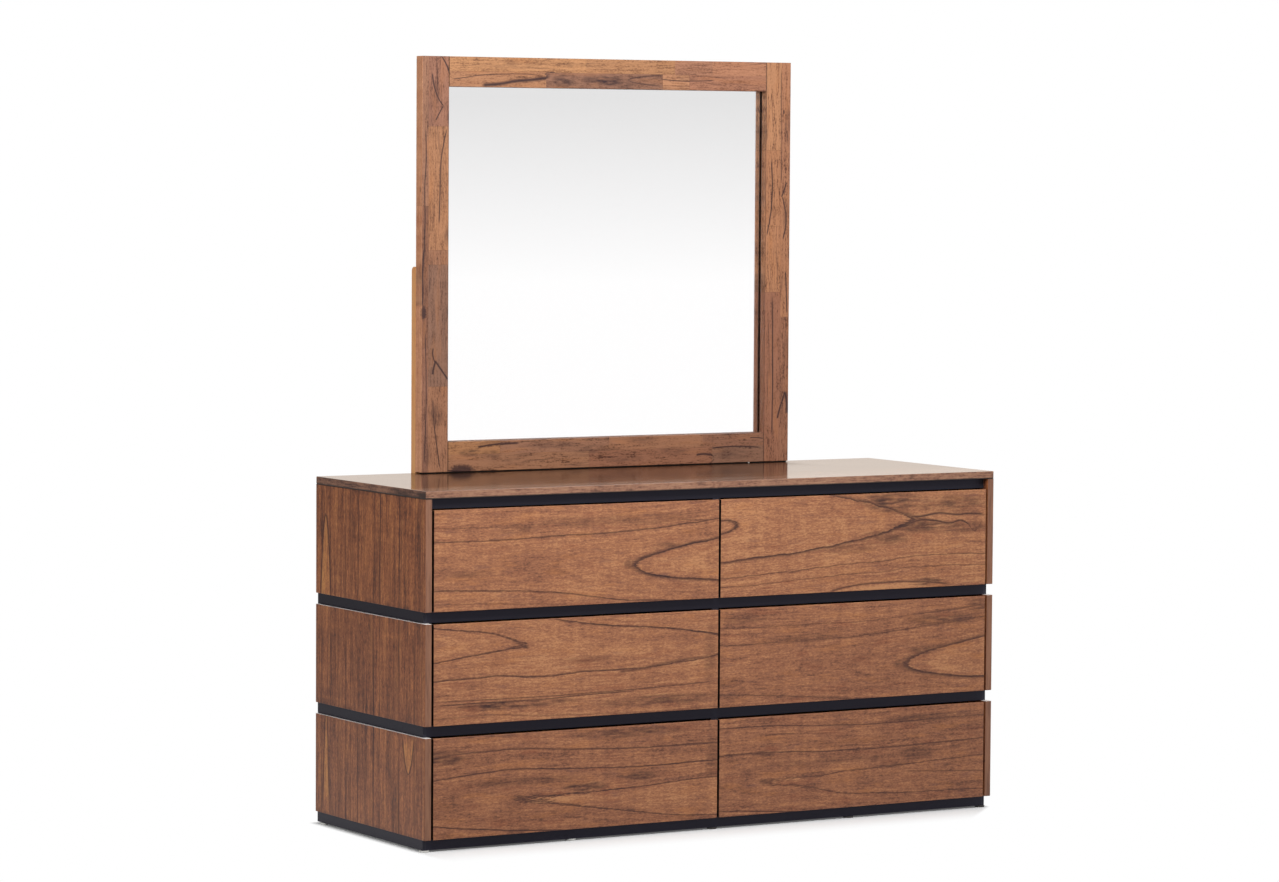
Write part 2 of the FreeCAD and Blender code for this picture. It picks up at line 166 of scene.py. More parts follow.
def noise(x, y, z, detail=2.0, roughness=0.5):
    """Smooth random numbers, mostly between -1 and 1, with 0 as their mean."""
    tree = x.tree
    place = add_node(tree, "CombineXYZ", X=x, Y=y, Z=z)
    made = add_node(
        tree, "TexNoise", Vector=place.outputs[0], Scale=1.0, Detail=detail, Roughness=roughness
    )
    return (Field(made.outputs[0]) - NOISE_MIDDLE) * NOISE_GAIN


def speckle(place, fineness, detail=2.0):
    """Noise that is equally fine in all three directions."""
    return noise(*[part * fineness for part in place], detail=detail)


def rise(field, low, high, way="SMOOTHSTEP"):
    """0 at the first limit and before it, 1 at the second and beyond, and smooth between them."""
    made = add_node(
        field.tree, "MapRange", {"interpolation_type": way},
        Value=field, From_Min=low, From_Max=high,
    )
    return Field(made.outputs[0])


def near(field, place, reach, full=0.0):
    """1 where a field is within the full distance of a place, and 0 beyond its reach."""
    return rise((field - place).size(), reach, full)


def curve(field, points):
    """A smooth line through a few points, for a field that runs from 0 to 1."""
    made = add_node(field.tree, "FloatCurve", Value=field)
    line = made.mapping.curves[0]
    line.points[0].location = points[0]
    line.points[1].location = points[-1]
    for place, value in points[1:-1]:
        line.points.new(place, value)
    made.mapping.update()
    return Field(made.outputs[0])


def ramp(field, stops, way="LINEAR"):
    """Colours at places from 0 to 1, blended, or in steps like staves; an alpha can be a fourth part."""
    made = add_node(field.tree, "ValToRGB", Fac=field)
    made.color_ramp.interpolation = way
    elements = made.color_ramp.elements
    while len(elements) < len(stops):
        elements.new(0.999)
    for element, (place, _) in zip(elements, stops):
        element.position = place
    for element, (_, colour) in zip(elements, stops):
        element.color = (*colour, 1.0)[:4]
    return made.outputs["Color"]


def blend(factor, first, second):
    """Two colours mixed by a field."""
    return add_node(factor.tree, "MixRGB", Fac=factor, Color1=first, Color2=second).outputs[0]


def swatch(red, green, blue):
    """A colour off a paint card, 0 to 255, in the linear light that shaders use, with its alpha."""
    parts = [part / 255 for part in (red, green, blue)]
    return (*[p / 12.92 if p <= 0.04045 else ((p + 0.055) / 1.055) ** 2.4 for p in parts], 1.0)


def card(*paints):
    """The stops of a ramp, from paints given as (place, red, green, blue)."""
    return [(place, swatch(*paint)) for place, *paint in paints]


print("swatch 160, 111, 84 is", [round(part, 3) for part in swatch(160, 111, 84)])

# %% [markdown]
# ## The studio
# The dresser stands in a bright sweep of paper: white floor, white surroundings, one large soft
# lamp high in front, and a weak one on each side. The white could be had by turning every lamp
# up, but that washes the wood out. Here the lamps stay at the level at which a colour renders as
# it is written, and only what the camera and the mirror see of the surroundings is painted white,
# by way of the Light Path node. The floor still takes the shadow, and turns to plain white a
# hand's width from the base, so that it has no visible end.
#
# The mirror looks at the far side of the studio, where the paper turns from white to a light
# grey just above eye level. The paper ends on the left, and beyond it the room is dim, which
# keeps the sheen off the cabinet's left side. Behind the dresser the paper is a little warmer.

# %% Surroundings
SKY_LEVEL = 0.30
PAPER_GREY = 0.775
SIDE_GREY = 0.25
WARM_PAPER = (1.0, 0.87, 0.77, 1.0)
HORIZON = (-0.0267, 0.0133)
IN_FRONT = (0.1, -0.1)
ON_THE_LEFT = (0.0, -0.4)
BEHIND = (0.0, 0.3)


def ray_is(tree, *kinds):
    """1 where a ray of light is of one of these kinds, and 0 elsewhere."""
    path = add_node(tree, "LightPath")
    first, *others = [Field(path.outputs[f"Is {kind} Ray"]) for kind in kinds]
    return rise(sum(others, start=first), 0.0, 1.0)


def build_surroundings():
    """A plain soft sky for light, which looks like white paper where it is seen."""
    world = bpy.data.worlds.new("studio")
    bpy.context.scene.world = world
    world.use_nodes = True
    tree = world.node_tree
    coordinates = add_node(tree, "TexCoord")
    to_right, to_back, upward = split(tree, coordinates.outputs["Generated"])
    mirrored = ray_is(tree, "Glossy", "Transmission")
    greyed = rise(upward, *HORIZON, "LINEAR") * rise(to_back, *IN_FRONT)
    dim = rise(to_right, *ON_THE_LEFT) * mirrored
    paper = (1 - greyed * mirrored * (1 - PAPER_GREY)) * (1 - dim * (1 - SIDE_GREY))
    warmed = mirrored * rise(to_back, *BEHIND)
    seen = ray_is(tree, "Camera", "Glossy", "Transmission")
    colour = blend(warmed, (1, 1, 1, 1), WARM_PAPER)
    strength = paper * seen + (1 - seen) * SKY_LEVEL
    feed_all(tree.nodes["Background"], Color=colour, Strength=strength)
    return world


print("surroundings:", len(build_surroundings().node_tree.nodes), "nodes")

# %% Lamps
LAMPS = {
    "key": {"place": (-0.45, -2.1, 2.75), "aim": (0.0, 0.0, 0.7), "size": (1.8, 1.0), "watts": 74},
    "left_fill": {"place": (-2.9, -0.5, 1.2), "aim": (-0.75, 0.0, 0.7), "size": (1.0, 1.4), "watts": 16},
    "right_fill": {"place": (2.9, -1.0, 1.7), "aim": (0.3, 0.0, 0.8), "size": (1.2, 1.4), "watts": 8},
}


def add_lamp(name, place, aim, size, watts):
    """A soft box: a flat panel of light, turned towards a point."""
    lamp = bpy.data.lights.new(name, "AREA")
    lamp.shape = "RECTANGLE"
    lamp.size, lamp.size_y = size
    lamp.energy = watts
    holder = bpy.data.objects.new(name, lamp)
    holder.location = place
    holder.rotation_euler = (Vector(aim) - Vector(place)).to_track_quat("-Z", "Y").to_euler()
    bpy.context.scene.collection.objects.link(holder)


for name, lamp in LAMPS.items():
    add_lamp(name, **lamp)
print("lamps of", [lamp["watts"] for lamp in LAMPS.values()], "watts")

# %% Floor
FLOOR_HALF = 30.0
FLOOR_BOUNCE = (0.2, 0.2, 0.2, 1.0)
FLOOR_WHITE = (0.8, 0.8, 0.8, 1.0)
FLOOR_LIFT = 0.1
SHADOW_REACH = (0.0, 0.17)
SHADOW_ENDS = 8.0
SHADOW_SLANT = 1.0
PAPER_END = (-1.2, -2.6)


def build_floor():
    """A sheet that takes the shadow; a painted white glow hides it fast aside, behind, at the right end."""
    mesh = bpy.data.meshes.new("floor")
    corners = [(-1, -1), (1, -1), (1, 1), (-1, 1)]
    mesh.from_pydata([(x * FLOOR_HALF, y * FLOOR_HALF, 0) for x, y in corners], [], [(0, 1, 2, 3)])
    floor = bpy.data.objects.new("floor", mesh)
    bpy.context.scene.collection.objects.link(floor)
    material = bpy.data.materials.new("paper")
    material.use_nodes = True
    tree = material.node_tree
    shader = tree.nodes["Principled BSDF"]
    across, deep, _ = split(tree, add_node(tree, "TexCoord").outputs["Object"])
    mirrored = ray_is(tree, "Glossy", "Transmission")
    seen = ray_is(tree, "Camera", "Glossy", "Transmission")
    base_low, base_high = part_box("base_board")
    ahead = (base_low.y - deep).or_more(0.0)
    right_end = across - base_high.x + ahead * SHADOW_SLANT
    aside = (base_low.x - across).or_more(right_end).or_more(0.0) * SHADOW_ENDS
    ahead = ahead.or_more((deep - base_high.y) * SHADOW_ENDS)
    far = rise((aside * aside + ahead * ahead).root(), *SHADOW_REACH)
    lift = far * (1 - FLOOR_LIFT) + FLOOR_LIFT
    lift = lift * (1 - mirrored * rise(across, *PAPER_END) * (1 - SIDE_GREY))
    visible = blend(far, FLOOR_WHITE, (0, 0, 0, 1))
    colour = blend(seen, FLOOR_BOUNCE, visible)
    feed_all(shader, Base_Color=colour, Roughness=1.0, Specular_IOR_Level=0.0)
    feed_all(shader, Emission_Color=(1, 1, 1, 1), Emission_Strength=lift * seen)
    mesh.materials.append(material)
    return floor


floor = build_floor()
bpy.context.scene.view_settings.view_transform = "Standard"
print("floor of", 2 * FLOOR_HALF, "m square")

# %% [markdown]
# ## Grain, common to all the wood
# Wood is bundles of long cells. Close up that shows as fine fibres, a little wider streaks,
# bands, broad clouds of darker stain, a shimmer across the grain where the fibres dip, and open
# pores drawn out to dashes. A scan of real wood could be wrapped round each board, but it would
# repeat and would end at the edges. Noise that is stretched along the grain goes right through a
# board, so its edges match its faces. It is built once as a node group and used by each wood.
#
# Each part below is (how fine it is along the grain, how fine across it, detail, roughness).

# %% The grain group
GRAIN_PARTS = {
    "Fibre": (150, 350, 2, 0.7),
    "Streak": (24, 230, 3, 0.65),
    "Band": (7, 75, 3, 0.6),
    "Cloud": (4, 14, 2, 0.5),
    "Shimmer": (60, 8, 2, 0.5),
    "Pore": (95, 1200, 1, 0.5),
}
PORE_LIMITS = (0.3, 0.75)


def make_grain():
    """The parts of the grain, from a place given along the grain, across it and through it."""
    tree = bpy.data.node_groups.new("grain", "ShaderNodeTree")
    for name in ("Along", "Across", "Through"):
        tree.interface.new_socket(name, in_out="INPUT", socket_type="NodeSocketFloat")
    for name in GRAIN_PARTS:
        tree.interface.new_socket(name, in_out="OUTPUT", socket_type="NodeSocketFloat")
    start = tree.nodes.new("NodeGroupInput")
    end = tree.nodes.new("NodeGroupOutput")
    along, across, through = [Field(output) for output in start.outputs[:3]]
    for name, (fine_along, fine_across, detail, roughness) in GRAIN_PARTS.items():
        place = (along * fine_along, across * fine_across, through * fine_across)
        part = noise(*place, detail=detail, roughness=roughness)
        feed(end.inputs[name], rise(part, *PORE_LIMITS) if name == "Pore" else part)
    return tree


GRAIN = make_grain()


def grain(along, across, through):
    """The parts of the grain at a place."""
    made = along.tree.nodes.new("ShaderNodeGroup")
    made.node_tree = GRAIN
    for socket, field in zip(made.inputs, (along, across, through)):
        feed(socket, field)
    return [Field(output) for output in made.outputs]


def weigh(parts, weights):
    """The sum of some fields, each times its weight."""
    first, *others = [part * weight for part, weight in zip(parts, weights)]
    return sum(others, start=first)


def most(fields):
    """The greatest of some fields at each point, as where dark marks overlap."""
    greatest, *others = fields
    for other in others:
        greatest = greatest.or_more(other)
    return greatest


print("parts of the grain:", ", ".join(GRAIN_PARTS))

# %% A finish on a piece
def new_finish(name):
    """A material, and the fields for the place and the facing on a piece that wears it."""
    material = bpy.data.materials.new(name)
    material.use_nodes = True
    tree = material.node_tree
    coordinates = add_node(tree, "TexCoord")
    place = split(tree, coordinates.outputs["Object"])
    facing = split(tree, coordinates.outputs["Normal"])
    return material, place, facing


def dress(material, colour, roughness, height, depth, sheen=0.5, **others):
    """Gives a material its colour, gloss, sheen and relief, which is depth high, in metres."""
    tree = material.node_tree
    shader = tree.nodes["Principled BSDF"]
    bump = add_node(tree, "Bump", Height=height, Distance=depth, Strength=1.0)
    feed_all(shader, Base_Color=colour, Roughness=roughness, Normal=bump.outputs["Normal"])
    feed_all(shader, Specular_IOR_Level=sheen, **others)
    return material


def give(material, *names):
    """Puts a finish on whole CAD nodes."""
    for name in names:
        mesh = nodes[name].data
        if not mesh.materials:
            mesh.materials.append(material)
        for i in range(len(mesh.materials)):
            mesh.materials[i] = material


print("grain group has", len(GRAIN.nodes), "nodes")

# %% [markdown]
# ## Shapes in the figure
# A few forms come back on several boards, so each is made once: a thin dark line through a few
# chosen places, an arch, which is where growth rings close round a rise in the log, and a knot,
# where a branch left the trunk. Each gives a field that is 1 on the form and 0 off it. Where a
# board has an arrised edge, the distance to that edge tells where handling has rubbed it.

# %% Lines, arches, knots and edges
def scribed(along, across, points, half_width):
    """A dark line through places given as (along, across), which fades at both ends."""
    first, last = points[0][0], points[-1][0]
    run = (along - first) / (last - first)
    path = curve(run, [((place - first) / (last - first), value) for place, value in points])
    ends = rise(run, -0.02, 0.05) * rise(run, 1.02, 0.92)
    return near(across, path, half_width) * ends


def arch(along, across, tip, length, spread, half_width):
    """The outline and the inside of an arch; a negative length opens the other way."""
    inwards = (tip[0] - along) / length
    legs = inwards.or_more(0.0).root() * spread
    outside = (across - tip[1]).size() - legs
    fade = rise(inwards, 1.0, 0.6) * rise(inwards, -0.03, 0.0)
    outline = rise(outside.size(), half_width, 0.0) * fade
    return outline, rise(outside, half_width * 0.5, -half_width * 0.5) * fade


def knot(place, centre, radius, stretch):
    """A dark oval, drawn out along each axis by its own stretch."""
    parts = [(p - c) / (radius * s) for p, c, s in zip(place, centre, stretch)]
    away = (parts[0] * parts[0] + parts[1] * parts[1] + parts[2] * parts[2]).root()
    return rise(away + speckle(place, 220) * 0.25, 1.1, 0.55)


def edge_distance(place, low, high, axes):
    """How far a place is from the nearest edge of its board, along the given axes."""
    nearest, *others = [
        gap for axis in axes for gap in (place[axis] - low[axis], high[axis] - place[axis])
    ]
    for gap in others:
        nearest = nearest.or_less(gap)
    return nearest


print("forms:", ", ".join(form.__name__ for form in (scribed, arch, knot, edge_distance)))

# %% [markdown]
# ## Drawer fronts: veneer with its own figure
# Veneer is sliced from a log, so the arches on a front are the log's growth rings, cut at a low
# angle. The lines could be drawn one by one, but then they would cross each other. Instead each
# front knows two things about the log behind it, all along the board: at what height the pith
# runs, and how deep it lies. The distance from the pith gives the ring at each point. Where the
# pith sinks away the rings close in an arch, which points towards the deep end.
#
# Places on a front run from 0 to 1, from its left end to its right and from its foot to its top,
# and distances from the pith are in heights of the front. A ring is a dark line at one distance:
# (distance, darkness, how soon it fades towards the pith, how soon it fades outwards). Lines are
# the few that leave the rings, each (its places, half its width, darkness). Clouds are patches
# that drank more stain, (centre, reach along and up, darkness), and glows are patches that stayed
# lighter, (centre, reach, gain). Light is how far from the pith the pale heartwood of the arch
# reaches, and its gain. Waver is how far the rings stray, and shade is the whole front's tone. It
# is set higher on the upper fronts than on the lower ones: partly the veneer's own tone, partly
# painted light that falls off from the top tier down.

# %% The stain and the figures
FRONT_TONES = card(
    (0.00, 84, 53, 43), (0.25, 124, 81, 62), (0.50, 159, 105, 78), (0.75, 182, 123, 88),
    (1.00, 206, 147, 104),
)
RING_STAIN = swatch(50, 31, 35)
APEX_SLOPE = 0.22
FIGURES = {
    "upper_left": {
        "pith_height": [(0, 0.447), (0.37, 0.43), (0.7, 0.375), (1, 0.395)],
        "pith_depth": [(0, 0.411), (0.37, 0.394), (0.58, 0.352), (0.7, 0.3245), (1, 0.25)],
        "rings": [(0.3245, 0.88, 0.01, 0.045), (0.477, 0.72, 0.011, 0.02), (0.56, 0.3, 0.02, 0.01)],
        "lines": [([(0.86, 0.815), (0.93, 0.8), (1.0, 0.8)], 0.014, 0.5)],
        "clouds": [
            ((0.685, 0.385), (0.035, 0.06), 0.9), ((0.6, 0.83), (0.4, 0.08), 0.45),
            ((0.29, 0.78), (0.08, 0.06), 0.6), ((0.82, 0.55), (0.08, 0.05), 0.6),
            ((0.12, 0.36), (0.1, 0.05), 0.4),
        ],
        "glows": [((0.2, 0.6), (0.25, 0.25), 0.06)],
        "light": (0.31, 0.08), "waver": 0.016, "shade": 0.64, "seed": 1.7,
    },
    "upper_right": {
        "pith_height": [(0, 0.725), (0.3, 0.735), (0.714, 0.715), (1, 0.69)],
        "pith_depth": [(0, 0.259), (0.06, 0.27), (0.5, 0.41), (0.66, 0.4495), (0.71, 0.4565), (1, 0.47)],
        "rings": [
            (0.27, 0.8, 0.018, 0.02), (0.456, 0.85, 0.006, 0.05), (0.6, 0.62, 0.01, 0.012),
            (0.68, 0.55, 0.01, 0.01),
        ],
        "lines": [
            ([(0.7, 0.755), (0.743, 0.748), (0.821, 0.769), (0.892, 0.742), (0.941, 0.752), (0.998, 0.735)],
             0.022, 0.85),
            ([(0.7, 0.672), (0.736, 0.706), (0.786, 0.7), (0.863, 0.66), (0.905, 0.675), (0.945, 0.6)],
             0.022, 0.85),
            ([(0.4, 0.01), (0.495, 0.059), (0.592, 0.08), (0.697, 0.073), (0.795, 0.046), (0.87, 0.01)],
             0.018, 0.75),
            ([(0.93, 0.66), (0.955, 0.57), (0.985, 0.68)], 0.018, 0.6),
        ],
        "clouds": [
            ((0.635, 0.9), (0.15, 0.15), 0.9), ((0.76, 0.64), (0.18, 0.08), 0.8),
            ((0.61, 0.54), (0.13, 0.1), 0.65), ((0.91, 0.62), (0.14, 0.09), 0.6),
            ((0.87, 0.86), (0.18, 0.12), 0.7), ((0.48, 0.44), (0.12, 0.07), 0.55),
            ((0.77, 0.06), (0.08, 0.05), 0.9), ((0.2, 0.53), (0.05, 0.04), 0.5),
        ],
        "glows": [((0.63, 0.02), (0.22, 0.055), 0.26), ((0.5, 0.7), (0.16, 0.16), 0.08)],
        "light": (0.44, 0.07), "waver": 0.026, "shade": 0.69, "seed": 4.1,
    },
    "middle_left": {
        "pith_height": [
            (0, 0.797), (0.148, 0.792), (0.213, 0.786), (0.32, 0.752), (0.47, 0.7075), (0.72, 0.667),
            (1, 0.65),
        ],
        "pith_depth": [
            (0, 0.18), (0.071, 0.201), (0.148, 0.22), (0.213, 0.234), (0.278, 0.2455), (0.32, 0.249),
            (0.36, 0.26), (0.47, 0.306), (0.72, 0.3425), (1, 0.39),
        ],
        "rings": [(0.2485, 0.8, 0.016, 0.012), (0.403, 0.8, 0.02, 0.012), (0.75, 0.35, 0.02, 0.01)],
        "lines": [
            ([(0.01, 0.238), (0.117, 0.236), (0.345, 0.23), (0.644, 0.238), (0.813, 0.256), (0.999, 0.276)],
             0.01, 0.65),
            ([(0.01, 0.2), (0.117, 0.205), (0.345, 0.2), (0.511, 0.216), (0.7, 0.225)], 0.012, 0.75),
            ([(0.64, 0.429), (0.7, 0.441), (0.779, 0.475), (0.881, 0.515), (0.999, 0.533)], 0.026, 0.55),
        ],
        "clouds": [
            ((0.28, 0.17), (0.26, 0.06), 0.9), ((0.8, 0.12), (0.28, 0.07), 0.7),
            ((0.53, 0.57), (0.12, 0.05), 0.35), ((0.97, 0.55), (0.03, 0.4), 0.4),
        ],
        "glows": [((0.42, 0.78), (0.2, 0.16), 0.08), ((0.75, 0.66), (0.2, 0.12), 0.08)],
        "light": (0.22, 0.06), "waver": 0.012, "shade": 0.68, "seed": 7.9,
    },
    "middle_right": {
        "pith_height": [(0, 0.389), (0.7, 0.332), (1, 0.366)],
        "pith_depth": [(0, 0.421), (0.35, 0.39), (0.7, 0.3265), (1, 0.25)],
        "rings": [(0.3265, 0.82, 0.008, 0.055), (0.49, 0.6, 0.012, 0.016), (0.6, 0.5, 0.01, 0.012)],
        "lines": [([(0.72, 0.836), (0.803, 0.861), (0.999, 0.91)], 0.014, 0.5)],
        "clouds": [
            ((0.675, 0.335), (0.03, 0.06), 1.0), ((0.76, 0.47), (0.07, 0.06), 0.8),
            ((0.84, 0.78), (0.18, 0.08), 0.7), ((0.3, 0.66), (0.2, 0.06), 0.5),
            ((0.1, 0.9), (0.12, 0.07), 0.5), ((0.97, 0.9), (0.05, 0.1), 0.6),
        ],
        "glows": [((0.25, 0.42), (0.22, 0.14), 0.05)],
        "light": (0.31, 0.1), "waver": 0.014, "shade": 0.56, "seed": 11.3,
    },
    "lower_left": {
        "pith_height": [(0, 0.36), (0.31, 0.335), (0.514, 0.2925), (0.7, 0.255), (1, 0.23)],
        "pith_depth": [
            (0, 0.381), (0.2, 0.336), (0.27, 0.3225), (0.31, 0.3201), (0.4, 0.3183), (0.5, 0.3138),
            (0.58, 0.3082), (0.7, 0.2965), (0.85, 0.2699), (1, 0.252),
        ],
        "rings": [(0.32, 0.85, 0.008, 0.014), (0.443, 0.85, 0.012, 0.016), (0.6, 0.7, 0.016, 0.016)],
        "clouds": [
            ((0.295, 0.345), (0.035, 0.05), 1.2), ((0.53, 0.42), (0.1, 0.06), 1.0),
            ((0.02, 0.8), (0.14, 0.1), 1.0), ((0.68, 0.93), (0.25, 0.06), 0.8),
            ((0.3, 0.52), (0.25, 0.05), 0.6), ((0.72, 0.49), (0.08, 0.06), 0.8),
            ((0.98, 0.55), (0.03, 0.4), 0.5), ((0.75, 0.24), (0.2, 0.05), 0.4),
        ],
        "glows": [((0.41, 0.315), (0.11, 0.045), 0.3), ((0.56, 0.31), (0.14, 0.05), 0.12)],
        "light": (0.314, 0.14), "waver": 0.008, "shade": 0.53, "seed": 15.2,
    },
    "lower_right": {
        "pith_height": [(0, 0.345), (0.18, 0.327), (0.42, 0.2775), (1, 0.27)],
        "pith_depth": [
            (0, 0.346), (0.12, 0.329), (0.17, 0.3252), (0.214, 0.324), (0.289, 0.3221), (0.392, 0.3161),
            (0.461, 0.3042), (0.6, 0.295), (1, 0.27),
        ],
        "rings": [(0.325, 0.7, 0.008, 0.012), (0.447, 0.8, 0.012, 0.014), (0.66, 0.7, 0.012, 0.014)],
        "lines": [
            ([(0.165, 0.804), (0.213, 0.81), (0.28, 0.805)], 0.012, 0.6),
            ([(0.7, 0.335), (0.845, 0.304), (1.0, 0.281)], 0.012, 0.55),
        ],
        "clouds": [
            ((0.74, 0.52), (0.08, 0.08), 0.9), ((0.64, 0.4), (0.06, 0.06), 1.0),
            ((0.16, 0.62), (0.06, 0.04), 0.8), ((0.8, 0.88), (0.22, 0.06), 0.6),
            ((0.17, 0.33), (0.03, 0.04), 0.9), ((0.4, 0.5), (0.3, 0.05), 0.4),
        ],
        "glows": [((0.255, 0.325), (0.09, 0.04), 0.24), ((0.56, 0.8), (0.16, 0.05), 0.1)],
        "light": (0.318, 0.05), "waver": 0.01, "shade": 0.53, "seed": 19.6,
    },
}
print("figures for", ", ".join(FIGURES))

# %% Rings from the pith
WARM_STAIN = swatch(194, 126, 76)
RED_STAIN = swatch(146, 74, 50)
PLUM_STAIN = swatch(108, 76, 76)
DARK_END = (0.010, 0.008, 0.008, 1)


def ring_lines(distance, slope, rings):
    """How dark the rings are; the slope keeps them as thin at an arch's tip as on its legs."""
    lines = []
    for place, dark, inwards, outwards in rings:
        offset = (distance - place) / slope
        fade = rise(offset, outwards, 0.0)
        lines.append(rise(offset, -inwards, 0.0) * fade * fade * dark)
    return most(lines)


def stain_cloud(along, up, centre, size, dark):
    """A soft oval patch that took more stain."""
    across, above = (along - centre[0]) / size[0], (up - centre[1]) / size[1]
    return rise(across * across + above * above, 1.0, 0.0) * dark


print("a ring's slope at an arch's tip is", APEX_SLOPE)

# %% One front's veneer
FRONT_WEIGHTS = (0.42, 0.26, 0.13, 0.10, 0.12, 0.16, 0.21)
RING_BLUR = 0.003
HEART_EDGE = 0.008
VENEER_ROUGHNESS = 0.42
VENEER_SHEEN = 0.3
VENEER_RELIEF = 0.00012


def front_marks(place, streak, rings_at, inside, figure, seed):
    """Where the rings, the lines and the dark clouds lie on a front, and how dark they are."""
    x, y, z, along, up, sway = place
    marks = [ring_lines(*rings_at, figure["rings"])]
    for points, half_width, dark in figure.get("lines", ()):
        marks.append(scribed(along, up + sway * 0.5, points, half_width) * dark)
    soaked = rise(noise(x * 26 + seed, z * 150, y, detail=3) + streak * 0.3, -0.9, 0.7) * (1 - inside)
    marks += [stain_cloud(along, up, *cloud) * soaked for cloud in figure["clouds"]]
    return most(marks) * (noise(x * 8 + seed, z * 14, y) * 0.25 + streak * 0.1 + 1.0)


def stained(colour, x, y, z, streak, seed):
    """The veneer's colour with warm, red and plum patches where the stain took unevenly."""
    hue = noise(x * 10 + seed, z * 48, y, detail=3) + streak * 0.3
    plum = noise(x * 17, z * 90 + seed, y, detail=3)
    colour = blend(rise(hue, 0.0, 1.1) * 0.5, colour, WARM_STAIN)
    colour = blend(rise(hue, -0.1, -1.2) * 0.4, colour, RED_STAIN)
    return blend(rise(plum, 0.2, 1.2) * 0.6, colour, PLUM_STAIN)


def front_finish(name, figure):
    """The stained veneer of one drawer front."""
    material, (x, y, z), (facing_x, facing_y, _) = new_finish("veneer_front_" + name)
    low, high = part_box(name + "_front")
    seed = figure["seed"]
    along = (x - low.x) / (high.x - low.x)
    up = (z - low.z) / (high.z - low.z)
    fibre, streak, band, cloud, shimmer, pore = grain(x + seed, z, y)
    sway = noise(x * 7 + seed, z * 6, y * 6, detail=1) + noise(x * 34 + seed, z * 30, y) * 0.35
    sway = sway * figure["waver"]
    aside = up - curve(along, figure["pith_height"]) + sway
    deep = curve(along, figure["pith_depth"])
    round_pith = (aside * aside + deep * deep).root()
    slope = aside / round_pith
    slope = (slope * slope + APEX_SLOPE * APEX_SLOPE).root()
    distance = round_pith + noise(x * 60 + seed, z * 500, y * 100) * RING_BLUR
    inner_edge, gain = figure["light"]
    inside = rise(distance, inner_edge + HEART_EDGE, inner_edge - HEART_EDGE)
    place = (x, y, z, along, up, sway)
    marks = front_marks(place, streak, (distance, slope), inside, figure, seed)
    marks = marks * rise(facing_y, -0.5, -0.8)
    bands = noise(round_pith * 24 + seed, x * 1.5, seed, detail=3)
    thin = noise(round_pith * 80 + seed, x * 9, seed, detail=3)
    tone = weigh((fibre, streak, band, cloud, shimmer, bands, thin), FRONT_WEIGHTS)
    # Shade is partly the veneer's tone and partly painted light, higher on the upper fronts.
    tone = tone + inside * gain + figure["shade"]
    for centre, size, gain in figure["glows"]:
        tone = tone + stain_cloud(along, up, centre, size, gain)
    colour = stained(ramp(tone, FRONT_TONES), x, y, z, streak, seed)
    colour = blend(marks + pore * 0.2, colour, RING_STAIN)
    # The end faces of each front, seen only in the narrow gaps beside it, are made near black.
    colour = blend(rise(facing_x.size(), 0.5, 0.9), colour, DARK_END)
    roughness = fibre * 0.06 + marks * 0.1 + VENEER_ROUGHNESS
    relief = fibre * 0.35 - pore * 0.6 - marks * 0.5
    return dress(material, colour, roughness, relief, VENEER_RELIEF, VENEER_SHEEN)


for drawer in DRAWERS:
    give(front_finish(drawer, FIGURES[drawer]), drawer + "_front")
print("figured", len(DRAWERS), "drawer fronts")

# %% [markdown]
# ## Side panels: upright veneer
# Each side wears one sheet of veneer that was cut through all three tiers, so its lines run on
# from tier to tier across the black bands. The finish reads its place in the shared frame, not on
# each panel, which gives that for free. Narrow dark lines stand two or three fingers apart, each
# (its place from front to back, darkness). Three arches lie in the sheet, two that point up and
# one that points down: (tip, length, spread, half the line's width). A light streak stands in
# the middle tier: (its place, the height of its middle, half its length). The rest of the figure
# is the common grain, turned upright, and the middle tier is a shade darker than the others.
#
# The upward faces of the two lower tiers' top edges are painted near white, a painted highlight
# that shows as a bright thin line on each ledge. The narrow front edges took less stain than the
# faces, and stain gathered at the ends of the panels. Just under the slab a dark band is painted
# shadow, for the groove between the slab and the sides.

# %% Side veneer
SIDE_TONES = card(
    (0.00, 74, 40, 28), (0.25, 124, 71, 45), (0.50, 164, 98, 62), (0.75, 192, 121, 76),
    (1.00, 222, 152, 90),
)
EDGE_TAPE = swatch(160, 114, 90)
LEDGE_HIGHLIGHT = swatch(226, 220, 218)
SIDE_ARCHES = [
    ((0.706, 0.203), 0.26, 0.030, 0.0055),
    ((0.165, -0.195), -0.095, 0.030, 0.0050),
    ((0.262, 0.200), 0.26, 0.017, 0.0045),
]
LIGHT_STREAK = (0.187, 0.38, 0.08)
SIDE_LINES = [
    (-0.258, 0.45), (-0.224, 0.45), (-0.150, 0.75), (-0.128, 0.50), (-0.060, 0.75), (-0.031, 0.85),
    (0.044, 0.60), (0.080, 0.45), (0.104, 0.60), (0.141, 0.40), (0.181, 0.40), (0.222, 0.60),
]
LINE_HALF = 0.0042
JOINT_STAIN_AND_SHADOW = (0.012, 0.008, 0.007, 1)
SIDE_WEIGHTS = (0.42, 0.36, 0.28, 0.10, 0.12, 0.10, 0.34, 0.30)
SIDE_SHADE = 0.47
LINE_GAIN = 1.25
END_STAIN = 0.016
MIDDLE_SHADE = 0.05
TIER_BOXES = [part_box(tier + "_left_side") for tier in TIERS]
SIDE_ENDS = [corner.z for box in TIER_BOXES for corner in box]


